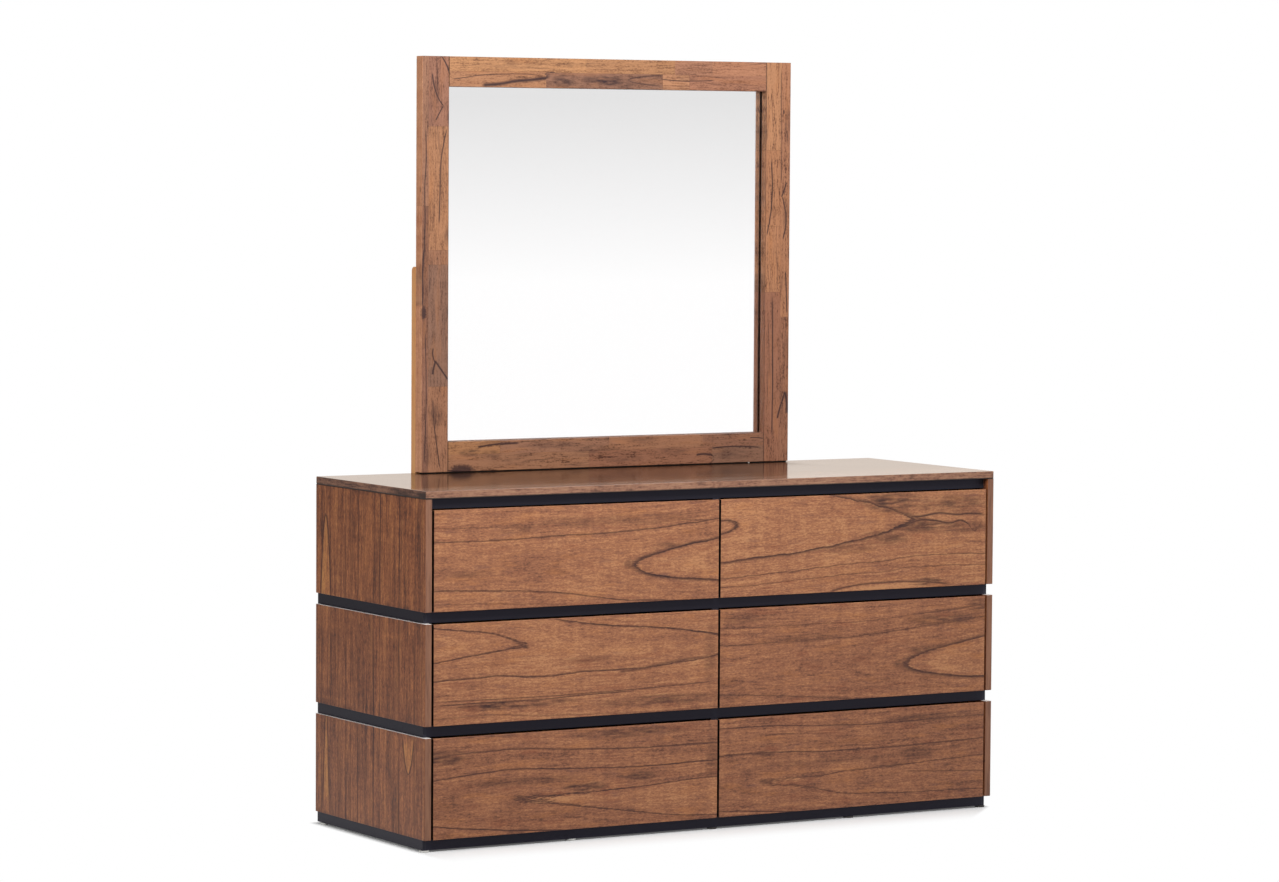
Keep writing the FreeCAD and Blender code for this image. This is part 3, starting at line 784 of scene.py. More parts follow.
def side_marks(across, y, z, x, arches, seed):
    """How dark the lines of a side are, and where the lighter insides of its arches lie."""
    marks = [rise(noise(across * 60 + seed, z * 1.1, x).size(), 0.22, 0.0) * 0.4]
    for line, dark in SIDE_LINES:
        marks.append(near(across, line, LINE_HALF, LINE_HALF * 0.2) * dark * LINE_GAIN)
    marks = most(marks) * rise(noise(across * 20, z * 5 + seed, x, detail=2), -1.0, 0.5)
    outlines, insides = zip(*[arch(z, across, *figure) for figure in arches])
    glow = sum(insides[1:], start=insides[0])
    blotches = rise(noise(y * 60 + seed, z * 20, x, detail=3), -0.3, 0.9) * 0.8
    ends = [near(z, end, END_STAIN) * blotches for end in SIDE_ENDS]
    return most([marks * (1 - glow * 0.8), *outlines, *ends]), glow


def side_finish(name, arches, seed):
    """The veneer of one side of the cabinet, all three tiers of it."""
    material, (x, y, z), (_, facing_y, facing_z) = new_finish("veneer_side_" + name)
    across = y + noise(z * 3 + seed, y * 6, x) * 0.0025
    fibre, streak, band, cloud, shimmer, pore = grain(z + seed, across, x)
    wide = noise(across * 38 + seed, z * 0.7, x, detail=1)
    marks, glow = side_marks(across, y, z, x, arches, seed)
    streak_at, streak_middle, streak_half = LIGHT_STREAK
    lit = near(y, streak_at, 0.004, 0.001) * near(z, streak_middle, streak_half, streak_half * 0.6)
    tone = weigh((fibre, streak, band, cloud, wide, shimmer, glow, lit), SIDE_WEIGHTS) + SIDE_SHADE
    low, high = [corner.z for corner in TIER_BOXES[1]]
    half = (high - low) / 2
    tone = tone - near(z, (low + high) / 2, half * 1.009, half * 0.979) * MIDDLE_SHADE
    warm = rise(noise(z * 5 + seed, y * 60, x, detail=2), 0.0, 1.0) * 0.4
    colour = blend(warm, ramp(tone, SIDE_TONES), WARM_STAIN)
    colour = blend(marks * 0.85 + pore * 0.2, colour, RING_STAIN)
    taped = blend(rise(band + streak * 0.6, -0.6, 0.8) * 0.5, EDGE_TAPE, RING_STAIN)
    colour = blend(rise(facing_y, -0.6, -0.9), colour, taped)
    # Painted shadow: a dark band just under the slab, for the shade in the groove there.
    shadow_under_slab = rise(z, SIDE_ENDS[-1] - 0.0022, SIDE_ENDS[-1] - 0.0008)
    colour = blend(shadow_under_slab * 0.85, colour, JOINT_STAIN_AND_SHADOW)
    # Painted highlight: upward faces below the top tier are painted near white, in broken streaks.
    pale = rise(facing_z, 0.2, 0.6) * rise(noise(y * 9 + seed, z, x), -1.1, -0.5)
    pale = pale * rise(z, SIDE_ENDS[-1] - 0.01, SIDE_ENDS[-1] - 0.02)
    colour = blend(pale, colour, LEDGE_HIGHLIGHT)
    roughness = fibre * 0.05 + marks * 0.1 + VENEER_ROUGHNESS
    return dress(material, colour, roughness, fibre * 0.3 - marks * 0.5, VENEER_RELIEF, VENEER_SHEEN)


give(side_finish("left", SIDE_ARCHES, 2.3), *[tier + "_left_side" for tier in TIERS])
give(side_finish("right", SIDE_ARCHES[:1], 31.7), *[tier + "_right_side" for tier in TIERS])
print("veneered both sides with", len(SIDE_ARCHES), "arches on the left one")

# %% [markdown]
# ## The top
# The slab's veneer runs from end to end under a smoother, thicker lacquer than the fronts have.
# Seen at a low angle it works as a mirror: bright where the white studio lies behind it, dark
# under the mirror's frame. A dark wood under a low roughness gives most of that, because a
# lacquered surface reflects most of the light that comes in at a glancing angle. Round the
# mirror's foot the sheen is turned down, as painted shade that darkens the frame's reflection
# there. Towards the front edge the veneer is painted lighter and towards the mirror darker:
# painted light and shade, for the light on the front of the top and the mirror's shade behind it.

# %% Slab finish
SLAB_TONES = card((0.00, 30, 17, 10), (0.35, 54, 33, 20), (0.65, 96, 66, 46), (1.00, 170, 146, 130))
SLAB_EDGE_TONES = card(
    (0.00, 58, 35, 28), (0.25, 112, 76, 60), (0.50, 158, 112, 88), (1.00, 190, 146, 116),
)
SLAB_CORNER = 0.24
SLAB_WEIGHTS = (0.08, 0.12, 0.12, 0.08, 0.12, 0.53)
SLAB_SHADE = 0.28
SLAB_GLOSS = 0.105
EDGE_ROUGHNESS = 0.45
LIT_FRONT_WIDTH = 0.28
FOOT_REACH = (0.0, 0.16)
FOOT_ENDS = (0.55, 0.46)
FOOT_SHADE_SHEEN = 0.03
GAP_BELOW = (0.7760, 0.7746)
GROOVE_SHADOW_BLACK = (0.006, 0.005, 0.005, 1)


def slab_finish():
    """The top: dark and glossy, painted lighter at the front; lighter edge tape, painted shade at its foot.
    """
    material, place, (facing_x, _, facing_z) = new_finish("veneer_top")
    x, y, z = place
    fibre, streak, band, cloud, _, pore = grain(x + 3.1, y, z)
    rings = noise(y * 26 + noise(x * 1.5, y * 3, z) * 0.8, x * 0.9, z)
    from_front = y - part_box("top_slab")[0].y
    # Painted light: the tone rises towards the front edge, and falls as painted shade towards the mirror.
    lit_front = rise(from_front, LIT_FRONT_WIDTH, 0.0)
    tone = weigh((fibre, streak, band, cloud, rings, lit_front), SLAB_WEIGHTS) + SLAB_SHADE
    above = rise(facing_z, 0.5, 0.9)
    edge_grain = noise(x * 30, z * 260, y * 30, detail=3) * 0.34 + noise(x * 60, z * 90, y) * 0.16
    end = rise(facing_x.size(), 0.5, 0.9)
    corner = rise(from_front, SLAB_CORNER, 0.0)
    edge_tone = fibre * 0.26 + edge_grain + cloud * 0.2 + 0.5
    edge = ramp(edge_tone - end * 0.12 - end * corner * 0.26, SLAB_EDGE_TONES)
    colour = blend(above, edge, ramp(tone, SLAB_TONES))
    colour = blend(pore * 0.15, colour, RING_STAIN)
    # Painted shadow: a thin black band along the foot of the slab's edges, for the shade in the groove.
    groove_shadow = rise(z, *GAP_BELOW) * (1 - above)
    colour = blend(groove_shadow * 0.85, colour, GROOVE_SHADOW_BLACK)
    gloss = fibre * 0.012 + cloud * 0.012 + SLAB_GLOSS
    rough = gloss * above + (1 - above) * EDGE_ROUGHNESS
    # Painted shade: the sheen is turned down in front of the mirror's foot, to darken the reflection there.
    shaded_foot = rise(y, *FOOT_REACH) * rise(x.size(), *FOOT_ENDS)
    sheen = (1 - shaded_foot) * (0.5 - FOOT_SHADE_SHEEN) + FOOT_SHADE_SHEEN
    return dress(material, colour, rough, fibre * 0.25 - pore * 0.4, 0.00003, sheen)


give(slab_finish(), "top_slab")
# The slab's tone is painted lighter over this width from its front edge.
print("the slab is worn paler over", LIT_FRONT_WIDTH, "m from its front edge")

# %% [markdown]
# ## Black lacquer
# The boards between the tiers, the base, the rail behind the top groove and the partitions are
# painted satin black. Black paint is never one flat black: the spray leaves a fine orange peel,
# dust settles into it, and the ends of the boards, where the paint is thin, look a little greyer.
# The white studio adds a lot of sheen to black, so the paint itself is made very dark, with its
# gloss turned down.

# %% Lacquer finish
BLACK = (0.0052, 0.0042, 0.0100, 1)
THIN_BLACK = (0.030, 0.031, 0.040, 1)
BLUE_SHEEN = (0.80, 0.74, 1.0, 1)
END_BAND = 0.009
PAINT_SHEEN = 0.28
PAINT_ROUGHNESS = 0.46


def lacquer_finish(name, low, high):
    """Satin black paint for one board."""
    material, place, (_, facing_y, _) = new_finish(name)
    x, y, z = place
    peel = speckle(place, 320, 1)
    dust = rise(speckle(place, 60, 4), 0.35, 1.0)
    brushed = noise(x * 6, y * 6, z * 190, detail=3)
    end = rise(edge_distance(place, low, high, (0,)), END_BAND, END_BAND - 0.002)
    end = end * rise(facing_y, -0.5, -0.9)
    rub = rise(edge_distance(place, low, high, (1, 2)), 0.0014, 0.0004) * 0.5
    colour = blend(end * 0.7 + rub + dust * 0.12 + rise(brushed, 0.2, 1.2) * 0.12, BLACK, THIN_BLACK)
    roughness = peel * 0.03 + dust * 0.1 + PAINT_ROUGHNESS
    return dress(material, colour, roughness, peel, 0.00004, PAINT_SHEEN, Specular_Tint=BLUE_SHEEN)


BLACK_BOARDS = ["upper_divider", "lower_divider", "base_board", "top_rail"]
BLACK_BOARDS += [tier + "_partition" for tier in TIERS]
for board in BLACK_BOARDS:
    give(lacquer_finish("black_" + board, *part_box(board)), board)
print("lacquered", len(BLACK_BOARDS), "boards")

# %% [markdown]
# ## The mirror's frame: staves
# The frame's members are glued up from short offcuts, two strips wide, butted end to end and
# stained together. So every member is a row of pieces in slightly different colours, with a
# thin line at each joint. A ramp in steps along the member gives each piece its colour, and the
# ramp's alpha gives it a seed, so that the grain jumps at the joint as it does in real offcuts.
#
# Each stave below is (where it starts, its colour, its seed), along the member from its foot or
# its left end, and split is where the second strip begins. Lines, arches and stains are given as
# fractions along and across the member, across from its left edge or its foot, and knots as a
# place in metres and a radius. Shade is the member's tone, and contrast is how strongly its grain
# stands out.

# %% The staves of each member
MEMBERS = {
    "mirror_left_stile": {
        "upright": True, "shade": 0.615, "contrast": 1.05, "split": 0.24,
        "first": [(0.0, (160, 112, 90), 0.2), (0.3, (150, 104, 82), 0.45), (0.64, (170, 122, 96), 0.7)],
        "second": [
            (0.0, (176, 124, 94), 0.15), (0.206, (152, 112, 92), 0.35), (0.5, (170, 120, 92), 0.55),
            (0.534, (188, 134, 98), 0.75), (0.831, (168, 118, 95), 0.95),
        ],
        "lines": [
            ([(0.846, 0.5), (0.862, 0.63), (0.882, 0.8)], 0.045),
            ([(0.88, 0.81), (0.905, 0.56), (0.96, 0.36)], 0.05),
            ([(0.95, 1.06), (0.98, 0.913), (1.002, 0.7)], 0.055),
            ([(0.6, 0.64), (0.67, 0.66), (0.74, 0.68), (0.79, 0.8), (0.83, 0.95)], 0.04),
            ([(0.52, 0.1), (0.6, 0.12), (0.68, 0.09), (0.75, 0.14), (0.83, 0.12)], 0.035),
            ([(0.4, 0.01), (0.44, 0.04), (0.471, 0.03), (0.54, 0.1)], 0.06),
            ([(0.02, 0.1), (0.12, 0.16), (0.34, 0.12)], 0.03),
            ([(0.01, 0.68), (0.07, 0.56), (0.13, 0.46), (0.18, 0.44)], 0.035),
            ([(0.236, 0.41), (0.25, 0.45), (0.27, 0.54)], 0.07),
            ([(0.222, 1.02), (0.246, 0.76), (0.27, 0.5)], 0.075),
            ([(0.262, 0.52), (0.285, 0.42), (0.3, 0.44)], 0.045),
        ],
        "stains": [
            ((0.915, 0.52), (0.035, 0.2), 0.6), ((0.136, 0.56), (0.036, 0.34), 0.8),
            ((0.15, 0.36), (0.022, 0.14), 0.9), ((0.87, 0.3), (0.05, 0.3), 0.4),
            ((0.05, 0.2), (0.06, 0.2), 0.5), ((0.44, 0.1), (0.05, 0.12), 0.6),
            ((0.57, 0.95), (0.03, 0.15), 0.7),
        ],
        "knots": [((-0.492, 0.224, 1.157), 0.0085), ((-0.498, 0.231, 1.438), 0.0035)],
    },
    "mirror_right_stile": {
        "upright": True, "shade": 0.74, "contrast": 1.65, "split": 0.63,
        "first": [
            (0.0, (166, 112, 86), 0.1), (0.425, (192, 134, 97), 0.4), (0.59, (188, 131, 95), 0.62),
            (0.78, (196, 140, 102), 0.85),
        ],
        "second": [(0.0, (168, 115, 88), 0.3), (0.36, (184, 128, 94), 0.5), (0.67, (184, 128, 96), 0.9)],
        "lines": [
            ([(0.065, 0.35), (0.305, 0.33), (0.42, 0.31)], 0.045),
            ([(0.372, 0.92), (0.43, 0.88), (0.479, 0.83)], 0.045),
            ([(0.567, 0.07), (0.6, 0.16), (0.648, 0.25), (0.759, 0.23)], 0.045),
            ([(0.559, 0.73), (0.61, 0.84), (0.668, 0.66)], 0.045),
            ([(0.664, 0.65), (0.68, 0.74), (0.701, 0.86)], 0.055),
            ([(0.7, 0.64), (0.86, 0.62), (0.985, 0.6)], 0.025),
            ([(0.107, 0.56), (0.135, 0.66), (0.155, 0.78), (0.176, 0.88)], 0.065),
            ([(0.12, 0.98), (0.15, 0.95), (0.176, 0.86)], 0.09),
        ],
        "stains": [
            ((0.84, 0.02), (0.05, 0.1), 0.6), ((0.84, 0.88), (0.06, 0.14), 0.7),
            ((0.28, 0.9), (0.05, 0.2), 0.4), ((0.62, 0.85), (0.05, 0.2), 0.5),
        ],
        "knots": [((0.478, 0.2225, 1.625), 0.0028)],
    },
    "mirror_top_rail": {
        "upright": False, "shade": 0.55, "contrast": 0.95, "split": 0.52,
        "first": [
            (0.0, (190, 136, 100), 0.15), (0.293, (158, 114, 92), 0.4), (0.664, (200, 144, 108), 0.65),
            (0.75, (186, 130, 102), 0.85),
        ],
        "second": [
            (0.0, (206, 150, 106), 0.25), (0.42, (196, 142, 102), 0.45), (0.7, (186, 132, 104), 0.6),
            (0.821, (196, 138, 106), 0.9),
        ],
        "lines": [
            ([(0.008, 0.24), (0.042, 0.29), (0.109, 0.4), (0.231, 0.47), (0.27, 0.45)], 0.022),
            ([(0.293, 0.47), (0.305, 0.51), (0.325, 0.52)], 0.04),
            ([(0.66, 0.35), (0.74, 0.3), (0.83, 0.33)], 0.03),
            ([(0.1, 0.06), (0.16, 0.13), (0.2, 0.22), (0.25, 0.28), (0.31, 0.37)], 0.11),
        ],
        "arches": [((0.555, 0.31), -0.12, 0.2, 0.04)],
        "stains": [
            ((0.352, 0.27), (0.045, 0.3), 0.9), ((0.435, 0.3), (0.035, 0.22), 0.7),
            ((0.49, 0.28), (0.065, 0.24), 1.1), ((0.545, 0.2), (0.045, 0.2), 0.8),
            ((0.36, 0.8), (0.08, 0.15), 0.4), ((0.74, 0.45), (0.05, 0.3), 0.4),
            ((0.18, 0.75), (0.12, 0.2), 0.35),
        ],
    },
    "mirror_bottom_rail": {
        "upright": False, "shade": 0.8, "contrast": 1.8, "split": 0.56,
        "first": [(0.0, (168, 118, 88), 0.2), (0.437, (160, 108, 82), 0.5), (0.829, (148, 106, 84), 0.8)],
        "second": [
            (0.0, (182, 128, 88), 0.35), (0.16, (164, 116, 90), 0.55), (0.5, (170, 118, 88), 0.65),
            (0.798, (156, 108, 84), 0.95),
        ],
        "lines": [
            ([(0.09, 0.8), (0.14, 0.86), (0.22, 0.9)], 0.06),
            ([(0.83, 0.52), (0.9, 0.56), (0.99, 0.5)], 0.04),
            ([(0.955, 0.84), (0.975, 0.84), (0.999, 0.8)], 0.03),
            ([(0.78, 0.3), (0.81, 0.32), (0.835, 0.26)], 0.07),
        ],
        "arches": [((0.838, 0.17), 0.02, 0.2, 0.05)],
        "stains": [
            ((0.068, 0.62), (0.045, 0.16), 0.9), ((0.13, 0.55), (0.05, 0.2), 0.6),
            ((0.32, 0.8), (0.12, 0.14), 0.6), ((0.45, 0.6), (0.08, 0.2), 0.5),
            ((0.9, 0.3), (0.08, 0.25), 0.5), ((0.6, 0.9), (0.06, 0.2), 0.5), ((0.2, 0.3), (0.1, 0.2), 0.4),
            ((0.7, 0.45), (0.07, 0.2), 0.5), ((0.55, 0.25), (0.08, 0.15), 0.45),
        ],
        "knots": [((-0.392, 0.2225, 0.7935), 0.0165)],
    },
}

print("members:", ", ".join(MEMBERS))

# %% Frame finish
FRAME_SHADES = [
    (0.00, (0.22, 0.18, 0.20)),
    (0.30, (0.50, 0.46, 0.46)),
    (0.55, (0.82, 0.80, 0.78)),
    (1.00, (1.00, 1.00, 1.00)),
]
PALE_SIDE = card((0.0, 200, 122, 86), (1.0, 252, 184, 140))
FRAME_WEIGHTS = (0.44, 0.30, 0.40, 0.24, 0.14, 0.18, 0.12)
FRAME_RELIEF = 0.00015
OPENING_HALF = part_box("mirror_left_stile")[1].x * -1
GLASS_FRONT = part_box("mirror_glass")[0].y
GLASS_SHADE = 0.0028
JOINT_HALF = 0.0015
SPLIT_HALF = 0.006
KNOT_STRETCH = 2.3


def stave_row(along, pieces):
    """The colour and the seed of each piece in a row."""
    stops = [(start, (*swatch(*colour)[:3], seed)) for start, colour, seed in pieces]
    colour = ramp(along, stops, "CONSTANT")
    return colour, Field(colour.node.outputs["Alpha"])


def joints_of(along, pieces):
    """A thin dark line wherever one piece of a row meets the next."""
    return most([near(along, start, 0.0011, 0.0002) for start, _, _ in pieces[1:]])


def frame_marks(place, run, width, bend, soaked, figure):
    """The lines, stains, arches and knots of one member, each as dark as it should be."""
    marks = [scribed(run, width + bend * 0.03, *line) * 0.95 for line in figure["lines"]]
    marks += [stain_cloud(run, width, *stain) * soaked for stain in figure["stains"]]
    marks += [arch(run, width, *bow)[0] * 0.7 for bow in figure.get("arches", ())]
    stretch = (1.0, 1.0, KNOT_STRETCH) if figure["upright"] else (KNOT_STRETCH, 1.0, 1.0)
    marks += [knot(place, *spot, stretch) * 0.85 for spot in figure.get("knots", ())]
    return marks


def frame_finish(name, figure):
    """The stained staves of one member of the mirror's frame."""
    material, place, (facing_x, facing_y, _) = new_finish(name)
    x, y, z = place
    low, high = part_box(name)
    if figure["upright"]:
        along, across = z, x
        run, width = (z - low.z) / (high.z - low.z), (x - low.x) / (high.x - low.x)
    else:
        along, across = x, z
        run, width = (x + OPENING_HALF) / (2 * OPENING_HALF), (z - low.z) / (high.z - low.z)
    first, second, split_at = figure["first"], figure["second"], figure["split"]
    colour_1, seed_1 = stave_row(run, first)
    colour_2, seed_2 = stave_row(run, second)
    side = rise(width + noise(along * 4, 1.0, 2.0) * 0.01, split_at - SPLIT_HALF, split_at + SPLIT_HALF)
    base = blend(side, colour_1, colour_2)
    seed = (seed_2 - seed_1) * side + seed_1
    fibre, streak, band, cloud, shimmer, pore = grain(along + seed * 7, across + seed, y)
    bend = noise(along * 5, across * 20, seed * 9, detail=1)
    ring = noise(across * 130 + bend * 1.6, along * 2.2, seed * 23)
    long = noise(along * 34, across * 420, seed * 13, detail=3, roughness=0.65)
    thin_rings = rise(ring.size(), 0.12, 0.0) * 0.45
    thin_rings = thin_rings * rise(noise(along * 6, across * 30, seed * 11), -0.3, 0.6)
    soaked = rise(noise(along * 40, across * 160, seed * 3, detail=3) + streak * 0.3, -0.8, 0.8)
    dark = most([thin_rings, *frame_marks(place, run, width, bend, soaked, figure)])
    tone = weigh((fibre, long, streak, band, cloud, ring, shimmer), FRAME_WEIGHTS)
    tone = tone * figure["contrast"] + figure["shade"]
    shades = ramp(tone, FRAME_SHADES)
    shaded = add_node(x.tree, "MixRGB", {"blend_type": "MULTIPLY"}, Fac=1.0, Color1=base, Color2=shades)
    warm = rise(noise(along * 9, across * 60, seed * 5, detail=2), 0.0, 1.0) * 0.35
    colour = blend(warm, shaded.outputs[0], WARM_STAIN)
    colour = blend(dark + pore * 0.15, colour, RING_STAIN)
    seams = joints_of(run, first) * (1 - side) + joints_of(run, second) * side
    seams = seams * 0.5 + near(width, split_at, 0.012, 0.002) * 0.2
    # The dark line where each rail meets a stile is partly the joint and partly painted shade in its
    # groove.
    ends = near(x.size(), OPENING_HALF, JOINT_HALF, JOINT_HALF * 0.4) * rise(facing_y, -0.5, -0.8)
    colour = blend(seams * 0.45 + ends * 0.95, colour, JOINT_STAIN_AND_SHADOW)
    # Painted shadow: the jamb is darkened just in front of the glass.
    shadow = near(y, GLASS_FRONT, GLASS_SHADE, GLASS_SHADE * 0.7) * rise(facing_y.size(), 0.8, 0.5)
    colour = blend(shadow * 0.9, colour, JOINT_STAIN_AND_SHADOW)
    outer = rise(facing_x.size() * rise(x.size(), 0.46, 0.48), 0.5, 0.9)
    colour = blend(outer * (1 - dark * 0.6), colour, ramp(tone, PALE_SIDE))
    relief = fibre * 0.3 - dark * 0.4 - seams * 0.4 - ends * 2.0
    roughness = fibre * 0.05 + dark * 0.1 + VENEER_ROUGHNESS
    return dress(material, colour, roughness, relief, FRAME_RELIEF, VENEER_SHEEN)


for member, figure in MEMBERS.items():
    give(frame_finish(member, figure), member)
print("frame opening is", round(2 * OPENING_HALF, 4), "m wide")

# %% [markdown]
# ## The mirror
# A real mirror is a clear plate with a silver film on its back, so the film lies behind the
# front face by the plate's thickness, and a dark line shows where the frame meets its own
# reflection. A metal plate would be simpler, but it has no such line. So the CAD plate becomes
# clear glass, and a very thin sheet of silver is added just inside its back face. The sheet has
# the plate's outline, a little smaller, with rounded corners.

# %% Glass and silver
FILM_INSET = 0.0006
FILM_BACK_GAP = 0.0001
FILM_THICKNESS = 0.0001
FILM_CORNER = 0.003
CORNER_STEPS = 6


def glass_finish():
    """Clear float glass, with a trace of dust on it."""
    material, place, _ = new_finish("clear_glass")
    dust = rise(speckle(place, 30, 5), 0.5, 1.4)
    tint = blend(dust * 0.02, (1.0, 1.0, 1.0, 1), (0.9, 0.9, 0.88, 1))
    return dress(material, tint, dust * 0.01, dust, 0.000001, Transmission_Weight=1.0, IOR=1.5)


def silver_finish():
    """The film of silver: a metal that reflects nearly all light, cloudy towards its rim."""
    material, (x, y, z), _ = new_finish("silver_film")
    cloud = rise(noise(x * 12, y, z * 12, detail=4), 0.2, 1.5)
    colour = blend(cloud * 0.05, (1.0, 0.995, 0.997, 1), (0.95, 0.95, 0.94, 1))
    return dress(material, colour, cloud * 0.004, cloud, 0.0000002, Metallic=1.0)


def rounded_outline(low, high, radius, steps):
    """Places round a rectangle with rounded corners, as (x, z)."""
    outline = []
    corners = [
        (high.x - radius, high.z - radius, 0.0), (low.x + radius, high.z - radius, 0.5 * math.pi),
        (low.x + radius, low.z + radius, math.pi), (high.x - radius, low.z + radius, 1.5 * math.pi),
    ]
    for x, z, start in corners:
        for i in range(steps + 1):
            turn = start + 0.5 * math.pi * i / steps
            outline.append((x + radius * math.cos(turn), z + radius * math.sin(turn)))
    return outline


def new_piece(name, shape, material, body, smooth=False):
    """Makes an object from a bmesh, gives it its finish and lets it ride on a body."""
    mesh = bpy.data.meshes.new(name)
    bmesh.ops.recalc_face_normals(shape, faces=shape.faces)
    shape.to_mesh(mesh)
    shape.free()
    for face in mesh.polygons:
        face.use_smooth = smooth
    mesh.materials.append(material)
    piece = bpy.data.objects.new(name, mesh)
    bpy.context.scene.collection.objects.link(piece)
    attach(piece, body)
    return piece


def add_silver():
    """The silver film, just inside the back of the glass."""
    low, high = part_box("mirror_glass")
    inset = Vector((FILM_INSET, 0, FILM_INSET))
    shape = bmesh.new()
    back = high.y - FILM_BACK_GAP
    outline = rounded_outline(low + inset, high - inset, FILM_CORNER, CORNER_STEPS)
    face = shape.faces.new([shape.verts.new((x, back, z)) for x, z in outline])
    grown = bmesh.ops.extrude_face_region(shape, geom=[face])
    moved = [part for part in grown["geom"] if isinstance(part, bmesh.types.BMVert)]
    bmesh.ops.translate(shape, verts=moved, vec=(0, -FILM_THICKNESS, 0))
    new_piece("mirror_silvering", shape, silver_finish(), "root")


give(glass_finish(), "mirror_glass")
add_silver()
glass_low, glass_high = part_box("mirror_glass")
print("silver film lies behind", round(glass_high.y - glass_low.y, 4), "m of glass")

# %% [markdown]
# ## Pale woods
# The parts that nobody stained are pale: the uprights behind the mirror in clear lacquer, the
# drawer boxes, their thin plywood bottoms and the dowels. They share one recipe with different
# colours, directions of the grain and gloss. The back panels and the mirror's backing are board,
# matte and plain, and get their own.

# %% Plain wood finish
PLAIN_WEIGHTS = (0.14, 0.2, 0.2, 0.14, 0.14)
PLAIN_SHADE = 0.5
PLAIN_SHEEN = 0.35
PALE_TONES = {
    "upright": [(232, 144, 84), (255, 180, 114), (255, 200, 138)],
    "box": [(164, 128, 88), (204, 172, 132), (228, 202, 164)],
    "ply": [(178, 148, 108), (212, 186, 148), (232, 212, 178)],
    "dowel": [(180, 144, 100), (214, 182, 138), (232, 206, 166)],
}


def plain_wood(name, direction, kind, roughness, seed, contrast=1.0):
    """A pale wood with its grain along one axis: "x", "y" or "z"."""
    material, (x, y, z), _ = new_finish(name)
    along, across, through = {"x": (x, y, z), "y": (y, x, z), "z": (z, x, y)}[direction]
    fibre, streak, band, cloud, _, pore = grain(along + seed, across, through)
    ring = noise(across * 70 + seed, along * 1.6, through * 70)
    tone = weigh((fibre, streak, band, cloud, ring), PLAIN_WEIGHTS) * contrast + PLAIN_SHADE
    dark, middle, light = [swatch(*tone_at) for tone_at in PALE_TONES[kind]]
    colour = ramp(tone, [(0.0, dark), (0.5, middle), (1.0, light)])
    flecks = rise(noise(along * 60, across * 500, through * 500, detail=1), 0.5, 1.0) * 0.25
    colour = blend(flecks + pore * 0.12, colour, dark)
    relief = fibre * 0.4 - pore * 0.5
    return dress(material, colour, fibre * 0.06 + roughness, relief, 0.0001, PLAIN_SHEEN)


give(plain_wood("upright_wood", "z", "upright", 0.4, 5.5), "left_upright", "right_upright")
give(plain_wood("dowel_wood", "y", "dowel", 0.6, 8.1), "carcass_dowels")
for number, drawer in enumerate(DRAWERS):
    side_wood = plain_wood("box_side_wood_" + drawer, "y", "box", 0.5, 9.0 + number)
    end_wood = plain_wood("box_end_wood_" + drawer, "x", "box", 0.5, 19.0 + number)
    bottom_ply = plain_wood("bottom_ply_" + drawer, "x", "ply", 0.6, 29.0 + number, contrast=0.7)
    give(side_wood, drawer + "_box_sides")
    give(end_wood, drawer + "_box_ends")
    give(bottom_ply, drawer + "_bottom")
print("pale wood on", 3 + 3 * len(DRAWERS), "nodes")

# %% Boards at the back
BOARD_SHEEN = 0.2
BOARD_SCUFF = swatch(190, 166, 138)


def board_finish(name, dark, light, grain_size, roughness):
    """A matte board: plywood when the grain is long, fibreboard when it is short."""
    material, place, _ = new_finish(name)
    x, y, z = place
    chips = noise(x * grain_size[0], y * 400, z * grain_size[1], detail=4, roughness=0.65)
    clouds = speckle(place, 5, 3)
    scuff = rise(noise(x * 14, y * 14, z * 40, detail=5), 0.5, 1.2)
    colour = blend(rise(chips + clouds * 0.5, -1.0, 1.0), swatch(*dark), swatch(*light))
    colour = blend(scuff * 0.25, colour, BOARD_SCUFF)
    return dress(material, colour, chips * 0.04 + roughness, chips, 0.00015, BOARD_SHEEN)


give(board_finish("back_plywood", (86, 58, 42), (142, 102, 72), (70, 5), 0.75), "back_panels")
give(board_finish("fibreboard", (118, 90, 62), (158, 126, 92), (240, 240), 0.85), "mirror_backing")
print("boards at the back have a sheen of", BOARD_SHEEN)

# %% [markdown]
# ## Metal, plastic and rubber
# The runners are rolled from zinc-plated strip, which keeps fine lines along its length and a
# bluish bloom. Screws and plates are the same metal, blotched by tumbling. The glides are white
# nylon, darkened with painted shade from the left end inwards, and the mirror stands on two strips
# of black foam, whose dark partly stands for the shade under its frame.

# %% Small finishes
GLIDE_SHADE_SPAN = (-0.3, -0.1)
GLIDE_SHADE = swatch(62, 58, 56)


ZINC_ROUGHNESS = 0.36


def zinc_finish(name, scale):
    """Zinc plate, with lines or blotches by the scale of its pattern along each axis."""
    material, place, _ = new_finish(name)
    lines = noise(*[part * fineness for part, fineness in zip(place, scale)], detail=3)
    bloom = speckle(place, 25, 3)
    colour = blend(rise(bloom, -0.8, 0.8), swatch(178, 184, 190), swatch(206, 208, 206))
    colour = blend(rise(lines, 0.3, 1.2) * 0.4, colour, swatch(120, 122, 124))
    roughness = lines * 0.08 + bloom * 0.05 + ZINC_ROUGHNESS
    return dress(material, colour, roughness, lines, 0.00002, Metallic=1.0)


def soft_finish(name, light, dark, roughness, shade_span=None):
    """Moulded plastic or rubber with scuffs; painted shade may grow between two places, left to right."""
    material, place, _ = new_finish(name)
    pits = speckle(place, 900)
    scuffs = rise(speckle(place, 160, 4), 0.3, 1.1)
    colour = blend(scuffs * 0.5, swatch(*light), swatch(*dark))
    if shade_span:
        colour = blend(rise(place[0], *shade_span), colour, GLIDE_SHADE)
    return dress(material, colour, scuffs * 0.2 + pits * 0.03 + roughness, pits, 0.00003)


